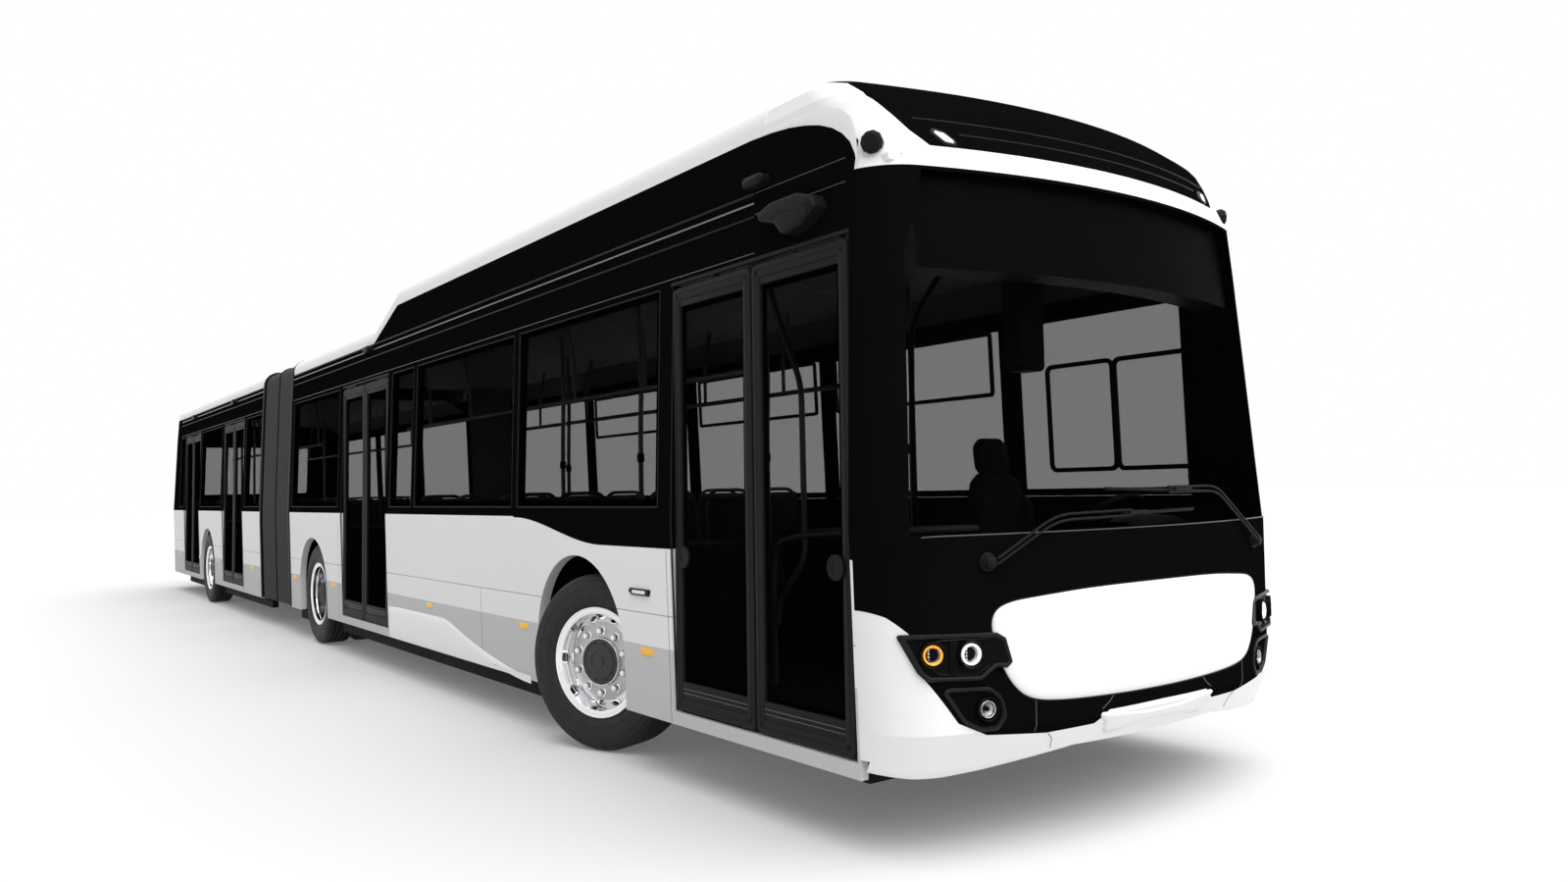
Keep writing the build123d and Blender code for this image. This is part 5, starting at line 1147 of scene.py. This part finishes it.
# Frames of the sliding panes in the driver's window and the far side windows
SLIDES = [(0.55, 1.12, 1.46, 2.1, 0.05), (1.11, 1.6, 1.46, 2.1, 0.05), (2.02, 3.6, 1.95, 2.36, 0.03),
          (3.82, 5.5, 1.95, 2.36, 0.03), (5.75, 7.5, 1.95, 2.36, 0.03)]
slides = Form()
section = [(0.0, -0.034), (0.0, -0.02), (0.004, -0.016), (0.022, -0.016), (0.026, -0.02), (0.026, -0.034)]
for u0, u1, low, high, corner in SLIDES:
    slides.frame(box_outline(u0, u1, low, high, corner), section, beside(1))
slides.done("sliding_panes", black_satin, "front_body", "dark_plastic", 35)

# Ceiling: edge beams and ribbed panels, and the driver's cabin: a hanging box, partitions and a bent post
for side in (-1, 1):
    for body, d0, d1 in (("front_body", 0.9, 9.5), ("rear_body", 11.05, 16.9)):
        beam = Form()
        beam.grid([[spot(d, side * y, z) for d in evenly(d0, d1, 2)]
                   for y, z in ((1.16, 2.46), (1.1, 2.5), (0.95, 2.585), (0.93, CEILING))])
        beam.done("cant_rail_%s_%s" % (body, "left" if side > 0 else "right"), liner, body, "chassis")
for body, d0, d1 in (("front_body", 0.34, 9.5), ("rear_body", 11.05, 16.9)):
    panel = Form()
    panel.grid([[spot(d, y, 2.6 - 0.012 * (k % 2)) for k, d in enumerate(evenly(d0, d1, 12))]
                for y in evenly(-0.95, 0.95, 12)])
    panel.done("ceiling_panel_" + body, liner, body, "chassis")
cab = Form()
cab.plate(box_outline(-0.09, 0.09, -0.22, 0.22, 0.03), lambda u, v, w: spot(0.8 - w, 0.13 + u, 2.16 + v),
          -0.06, 0.05, 0.015)
cab.tube([spot(0.8, 0.13, 2.36), spot(0.8, 0.13, 2.6)], 0.02, 12)
for y0, y1, z0, z1, d in ((0.22, 1.15, 0.33, 1.0, 1.7), (-0.02, 0.05, 0.33, 1.35, 1.0)):
    cab.plate(box_outline(y0, y1, z0, z1, 0.04), lambda u, v, w: spot(d - w, u, v), 0.0, 0.025, 0.008)
cab.tube(eased([spot(1.68, 0.2, 0.33), spot(1.68, 0.2, 2.3), spot(1.5, 0.3, 2.59)], 0.2), 0.016, 12)
cab.done("cab_fittings", black_satin, "front_body", "dark_plastic", 40)

# Sides: pressed sill under the grey band, cuts between the panels, and an indicator with its lens
sill, cuts, indicator, lens_forms, rear_cuts = Form(), Form(), Form(), Form(), Form()
SILL_FROM, SILL_TO = 3.5, 6.26
CUTS = [(4.28, (0.295, 0.45, 0.62, 0.795)), (1.86, (0.3, 0.6, 0.9, 1.12)), (7.72, (0.3, 0.6, 0.9, 1.265))]
REAR_CUTS = [(u, (0.3, 0.6, 0.9, 1.265)) for u in (12.0, 13.42, 15.12, 16.55)]
for side in (-1, 1):
    at = beside(side)
    rows = []
    for t in evenly(0, 1, 24):
        top = 0.3 + 0.235 * min(1.0, t * 1.9)**1.6 * (1.0 if t < 0.93 else 1 - (t - 0.93) * 0.5)
        top = min(top, 0.545)
        rows.append([at(SILL_FROM + (SILL_TO - SILL_FROM) * t, z, w)
                     for z, w in ((top + 0.006, 0.0), (top, 0.003), (top - 0.03, 0.0045), (0.32, 0.0045),
                                  (0.292, 0.002), (0.291, -0.03))])
    sill.grid(rows)
    for form, table in ((cuts, CUTS), (rear_cuts, REAR_CUTS)):
        for u, heights in table:
            form.band([at(u, z, 0) for z in heights], (0, side, 0), chamfered(0.003, 0.0008))
    outline = [(2.02, 0.918), (2.035, 0.884), (2.2, 0.884), (2.24, 0.9), (2.225, 0.918)]
    indicator.plate(rounded(outline, 0.008), at, -0.001, 0.012, 0.006)
    lens_forms.plate(box_outline(2.06, 2.19, 0.893, 0.91, 0.006), at, 0.01, 0.0145, 0.002)
sill.done("sill_pressing", white_gloss, "front_body", "white_panel", 40)
cuts.done("skirt_cuts", seam_grey, "front_body", "white_panel")
indicator.done("side_indicators", bezel_grey, "front_body", "lamp", 35)
lens_forms.done("indicator_lenses", lamp_white, "front_body", "lamp", 35)
rear_cuts.done("rear_skirt_cuts", seam_grey, "rear_body", "white_panel")

# White lips round the wheel arches, painted a greyer white as shade inside the arches: shift from the axle,
# half width and rise of each arch
ARCHES = [(0.042, 0.535, 0.51), (0.015, 0.52, 0.475), (0.015, 0.52, 0.475)]
for axle, (shift, half, rise) in zip(AXLES, ARCHES):
    lips = Form()
    for side in (-1, 1):
        at = beside(side)
        arch = [(-half * math.cos(a), 0.55 + rise * math.sin(a)) for a in evenly(0, math.pi, 36)]
        path = [(-half, 0.292), (-half, 0.42)] + arch + [(half, 0.42), (half, 0.292)]
        lips.grid([[at(axle + shift + du * (1 - e), v - e * 0.5 * max(0, v - 0.55), w) for du, v in path]
                   for e, w in ((0.001, -0.002), (0.003, -0.006), (0.004, -0.03), (0.004, -0.058))])
    lips.done("arch_lips_%d" % round(axle), shaded_white_gloss, body_at(axle), "white_panel", 50)

# Smooth white curve of the roof front over the dark sides
curve = Form()
ROOF_CURVE = [(0.425, 2.64), (0.44, 2.7), (0.47, 2.755), (0.52, 2.802), (0.585, 2.842), (0.665, 2.875),
              (0.76, 2.901), (0.87, 2.921), (1.0, 2.935), (1.15, 2.942)]
UPPER_EDGE = [(0.425, 2.66), (0.43, 2.72), (0.44, 2.78), (0.47, 2.85), (0.53, 2.9), (0.62, 2.93),
              (0.73, 2.944), (0.84, 2.947), (0.98, 2.948), (1.15, 2.947)]
for side in (-1, 1):
    at = beside(side)
    edge = [at(u, v, 0.0025) for u, v in ROOF_CURVE]
    curve.grid([edge, [at(u + 0.004, v - 0.003, 0.0) for u, v in ROOF_CURVE]])
    curve.grid([edge, [at(u, v, 0.001) for u, v in UPPER_EDGE]])
curve.done("roof_curve", white_gloss, "front_body", "white_panel", 60)

# White apron under the bumper's corners, down to the edge that the photograph shows
apron = Form()
EDGE = [(1.2, 0.317), (1.147, 0.309), (1.038, 0.306), (0.882, 0.319), (0.673, 0.344), (0.444, 0.3715)]
CORNER = [1.2495, 1.246, 1.24, 1.232, 1.222, 1.21]
APRON_TOP, APRON_OUT = 0.374, (-0.03, -0.0008, 0.0, 0.0, -0.0012, -0.004, -0.03)
for side in (-1, 1):
    rows = []
    for y in CORNER + [1.2 - k * 0.02 for k in range(38)]:
        low = 0.317 + (y - 1.2) * 0.18
        for (y0, z0), (y1, z1) in zip(EDGE, EDGE[1:]):
            if y1 <= y <= y0:
                low = z0 + (z1 - z0) * (y - y0) / (y1 - y0)
        heights = (APRON_TOP, APRON_TOP, (APRON_TOP + low) / 2, low + 0.004, low + 0.001, low, low)
        rows.append([face_point(side * y, z, w) for z, w in zip(heights, APRON_OUT)])
    apron.grid(rows, caps=True)
apron.done("bumper_apron", white_gloss, "front_body", "white_panel", 40)

# Camera wings, and the small camera caps along the sides
WING = [(1.01, 2.572, 0.012), (0.915, 2.6, 0.05), (0.74, 2.602, 0.05), (0.64, 2.572, 0.03),
        (0.608, 2.52, 0.012), (0.7, 2.462, 0.04), (0.83, 2.44, 0.06), (0.885, 2.5, 0.03), (1.0, 2.535, 0.012)]
WING_LENS = [(0.0, 0.0), (0.02, 0.001), (0.022, 0.006), (0.016, 0.008), (0.013, 0.004), (0.0, 0.004)]


def domed(form, outline, at, proud, edge):
    """Housing with a rounded edge and a slightly crowned face."""
    rows = [[at(u, v, -0.004) for u, v in outline], [at(u, v, proud - edge) for u, v in outline]]
    for turn in (0.35, 0.75, 1.15, math.pi / 2):
        level = proud - edge + edge * math.sin(turn)
        rows.append([at(u, v, level) for u, v in shrink(outline, edge * (1 - math.cos(turn)))])
    middle = centre_of(outline)
    inner = shrink(outline, edge)
    for scale, rise in ((0.7, 0.002), (0.35, 0.003)):
        rows.append([at(*about(middle, p, scale), proud + rise) for p in inner])
    form.grid(rows, across=True, caps=True)


wings, rear_caps = Form(), Form()
for side in (-1, 1):
    at = beside(side)
    domed(wings, rounded(WING, 0.02), at, 0.074, 0.018)
    wings.lathe(at(0.66, 2.525, 0.07), (0, side, 0), WING_LENS, 24)
    for form, places in ((wings, ((1.085, 2.735), (6.83, 2.66))),
                         (rear_caps, ((12.64, 2.66), (15.64, 2.66)))):
        for u, v in places:
            domed(form, box_outline(u - 0.073, u + 0.073, v - 0.026, v + 0.026, 0.024), at, 0.055, 0.02)
wings.done("camera_wings", black_satin, "front_body", "dark_plastic", 40, replaces=("camera_pods",))
rear_caps.done("rear_camera_caps", black_satin, "rear_body", "dark_plastic", 40)

# Tail: window frame, hatch line and catches, seams, lamps and a bare plate
LAMP_CROWN = [(0.0, 1, -0.001), (0.0, 1, 0.006)]
TAIL_WINDOW = [(-0.012, 0.0), (-0.011, 0.006), (-0.002, 0.009), (0.014, 0.007), (0.018, 0.001)]
HATCH_LINE = [(-0.004, -0.001), (-0.003, 0.0016), (0.003, 0.0016), (0.004, -0.001)]
tail_trim, red_lamps, amber_lamps, white_lamps = Form(), Form(), Form(), Form()
tail_trim.frame(box_outline(-0.86, 0.86, 1.49, 2.31, 0.06), TAIL_WINDOW, tail_point)
tail_trim.frame(box_outline(-0.8, 0.8, 0.66, 1.2, 0.04), HATCH_LINE, tail_point)
for z in (0.6, 1.235):
    across = evenly(-1.2, 1.2, 40)
    tail_trim.band([tail_point(y, z) for y in across], [tail_out(y, z) for y in across],
                   chamfered(0.005, 0.0018))
for side in (-1, 1):
    for low, high, form in ((0.965, 1.085, red_lamps), (0.845, 0.955, amber_lamps),
                            (0.715, 0.835, red_lamps)):
        outline = box_outline(side * 0.942, side * 1.048, low, high, 0.02)
        pillow(form, outline, [(0.0, 1, 0.002), (0.0, 1, 0.009), (0.004, 1, 0.013), (0.012, 1, 0.016),
                               (0.02, 0.6, 0.017), (0.02, 0.2, 0.017)], tail_point)
        for k in range(3):
            y = side * (0.955 + 0.04 * k)
            rib = [tail_point(y, v, 0.0155) for v in (low + 0.02, (low + high) / 2, high - 0.02)]
            form.band(rib, tail_out(y, low), chamfered(0.004, 0.002))
    tail_trim.frame(box_outline(side * 0.932, side * 1.058, 0.702, 1.098, 0.03),
                    [(-0.008, -0.001), (-0.007, 0.007), (-0.001, 0.011), (0.006, 0.009), (0.007, 0.003)],
                    tail_point)
    pillow(white_lamps, box_outline(side * 0.8, side * 0.92, 0.47, 0.53, 0.02),
           LAMP_CROWN + [(0.004, 1, 0.01), (0.012, 0.8, 0.011)], tail_point)
    pillow(red_lamps, box_outline(side * 1.02, side * 1.08, 2.585, 2.615, 0.012),
           LAMP_CROWN + [(0.004, 1, 0.009), (0.008, 0.7, 0.01)], tail_point)
    tail_trim.plate(box_outline(side * 0.7, side * 0.76, 1.14, 1.165, 0.008), tail_point, -0.001, 0.008,
                    0.004)
levels = LAMP_CROWN + [(0.004, 1, 0.009), (0.008, 0.9, 0.01)]
pillow(red_lamps, box_outline(-0.17, 0.17, 2.36, 2.385, 0.01), levels, tail_point)
tail_trim.plate(box_outline(-0.28, 0.28, 0.425, 0.57, 0.01), tail_point, -0.001, 0.003, 0.002)
white_lamps.plate(box_outline(-0.26, 0.26, 0.44, 0.555, 0.008), tail_point, 0.002, 0.0055, 0.0015)
red_lamps.done("stop_lamps", lamp_red, "rear_body", "lamp", 35)
amber_lamps.done("tail_indicators", amber, "rear_body", "lamp", 35)
white_lamps.done("reversing_lamps", lamp_white, "rear_body", "lamp", 35)
tail_trim.done("tail_trim", black_satin, "rear_body", "dark_plastic", 40)

# Roof: panel seams and low hatch lids
SEAMS_AT = {"front_body": [(u, POD_ROOF) for u in (1.5, 2.65, 3.8, 4.95)]
            + [(u, LOW_ROOF) for u in (7.2, 8.6)], "rear_body": [(u, LOW_ROOF) for u in (12.3, 14.0, 15.7)]}
LIDS_AT = {"front_body": [(3.2, POD_ROOF), (5.5, POD_ROOF), (7.9, LOW_ROOF)],
           "rear_body": [(13.1, LOW_ROOF), (16.3, LOW_ROOF)]}
LID = [(0.0, 1, -0.002), (0.0, 1, 0.026), (0.008, 1, 0.036), (0.02, 1, 0.04), (0.05, 0.96, 0.042),
       (0.05, 0.5, 0.046), (0.05, 0.15, 0.047)]
LID_SEAM = [(0.0, -0.001), (0.0, 0.004), (0.022, 0.004), (0.022, -0.001)]
for body in ("front_body", "rear_body"):
    top_seams, lids = Form(), Form()
    for u, z in SEAMS_AT[body]:
        top_seams.band([spot(u, y, z) for y in evenly(-1.04, 1.04, 16)], UPRIGHT, chamfered(0.006, 0.0018))
    for u, z in LIDS_AT[body]:
        def on_roof(a, b, c):
            return spot(a, b, z + c)

        pillow(lids, box_outline(u - 0.36, u + 0.36, -0.3, 0.3, 0.06), LID, on_roof)
        top_seams.frame(box_outline(u - 0.39, u + 0.39, -0.33, 0.33, 0.08), LID_SEAM, on_roof)
    top_seams.done("roof_seams_" + body, seam_grey, body, "white_panel")
    lids.done("roof_lids_" + body, white_gloss, body, "white_panel", 40)

# Floor and light
world = bpy.data.worlds.new("white_world")
bpy.context.scene.world = world
world.use_nodes = True
world_nodes, world_links = world.node_tree.nodes, world.node_tree.links
backdrop = world_nodes["Background"]
backdrop.inputs["Color"].default_value = (1, 1, 1, 1)
SOFT_LIGHT, PAPER_GLOW = 0.6, 0.12
SUN_ENERGY, SUN_SPREAD, SUN_WAY = 3.6, math.radians(80), (-0.65, -0.14, -1.18)


def straight_ray(tree_nodes, tree_links):
    """1 for camera, glossy and transmission rays, 0 for the rest."""
    path = tree_nodes.new("ShaderNodeLightPath")
    result = path.outputs["Is Camera Ray"]
    for name in ("Is Glossy Ray", "Is Transmission Ray"):
        most = tree_nodes.new("ShaderNodeMath")
        most.operation = "MAXIMUM"
        tree_links.new(result, most.inputs[0])
        tree_links.new(path.outputs[name], most.inputs[1])
        result = most.outputs[0]
    return result


strength = world_nodes.new("ShaderNodeMapRange")
world_links.new(straight_ray(world_nodes, world_links), strength.inputs[0])
strength.inputs[3].default_value = SOFT_LIGHT
strength.inputs[4].default_value = 1.0
world_links.new(strength.outputs[0], backdrop.inputs["Strength"])

ground_mesh = bpy.data.meshes.new("ground")
reach = 150
ground_mesh.from_pydata([(-reach, -reach, 0), (reach, -reach, 0), (reach, reach, 0), (-reach, reach, 0)], [],
                        [(0, 1, 2, 3)])
ground = bpy.data.objects.new("ground", ground_mesh)
bpy.context.collection.objects.link(ground)
ground.location.z = -0.002
paper = Tree("paper")
seen = straight_ray(paper.nodes, paper.links)
near = paper.mix(paper.noise(0.4), (0.54, 0.54, 0.54), (0.56, 0.56, 0.56))
paper.set(Base_Color=paper.mix(seen, near, (0.62, 0.62, 0.62)), Roughness=0.9, Emission_Color=(1.0, 1.0, 1.0),
          Emission_Strength=paper.math("MULTIPLY", seen, PAPER_GLOW))
paper.shader.inputs["Specular IOR Level"].default_value = 0.0
ground_mesh.materials.append(paper.material)

sun = bpy.data.objects.new("sun", bpy.data.lights.new("sun", "SUN"))
sun.data.energy = SUN_ENERGY
sun.data.angle = SUN_SPREAD
sun.rotation_euler = Vector(SUN_WAY).to_track_quat("-Z", "Y").to_euler()
bpy.context.collection.objects.link(sun)
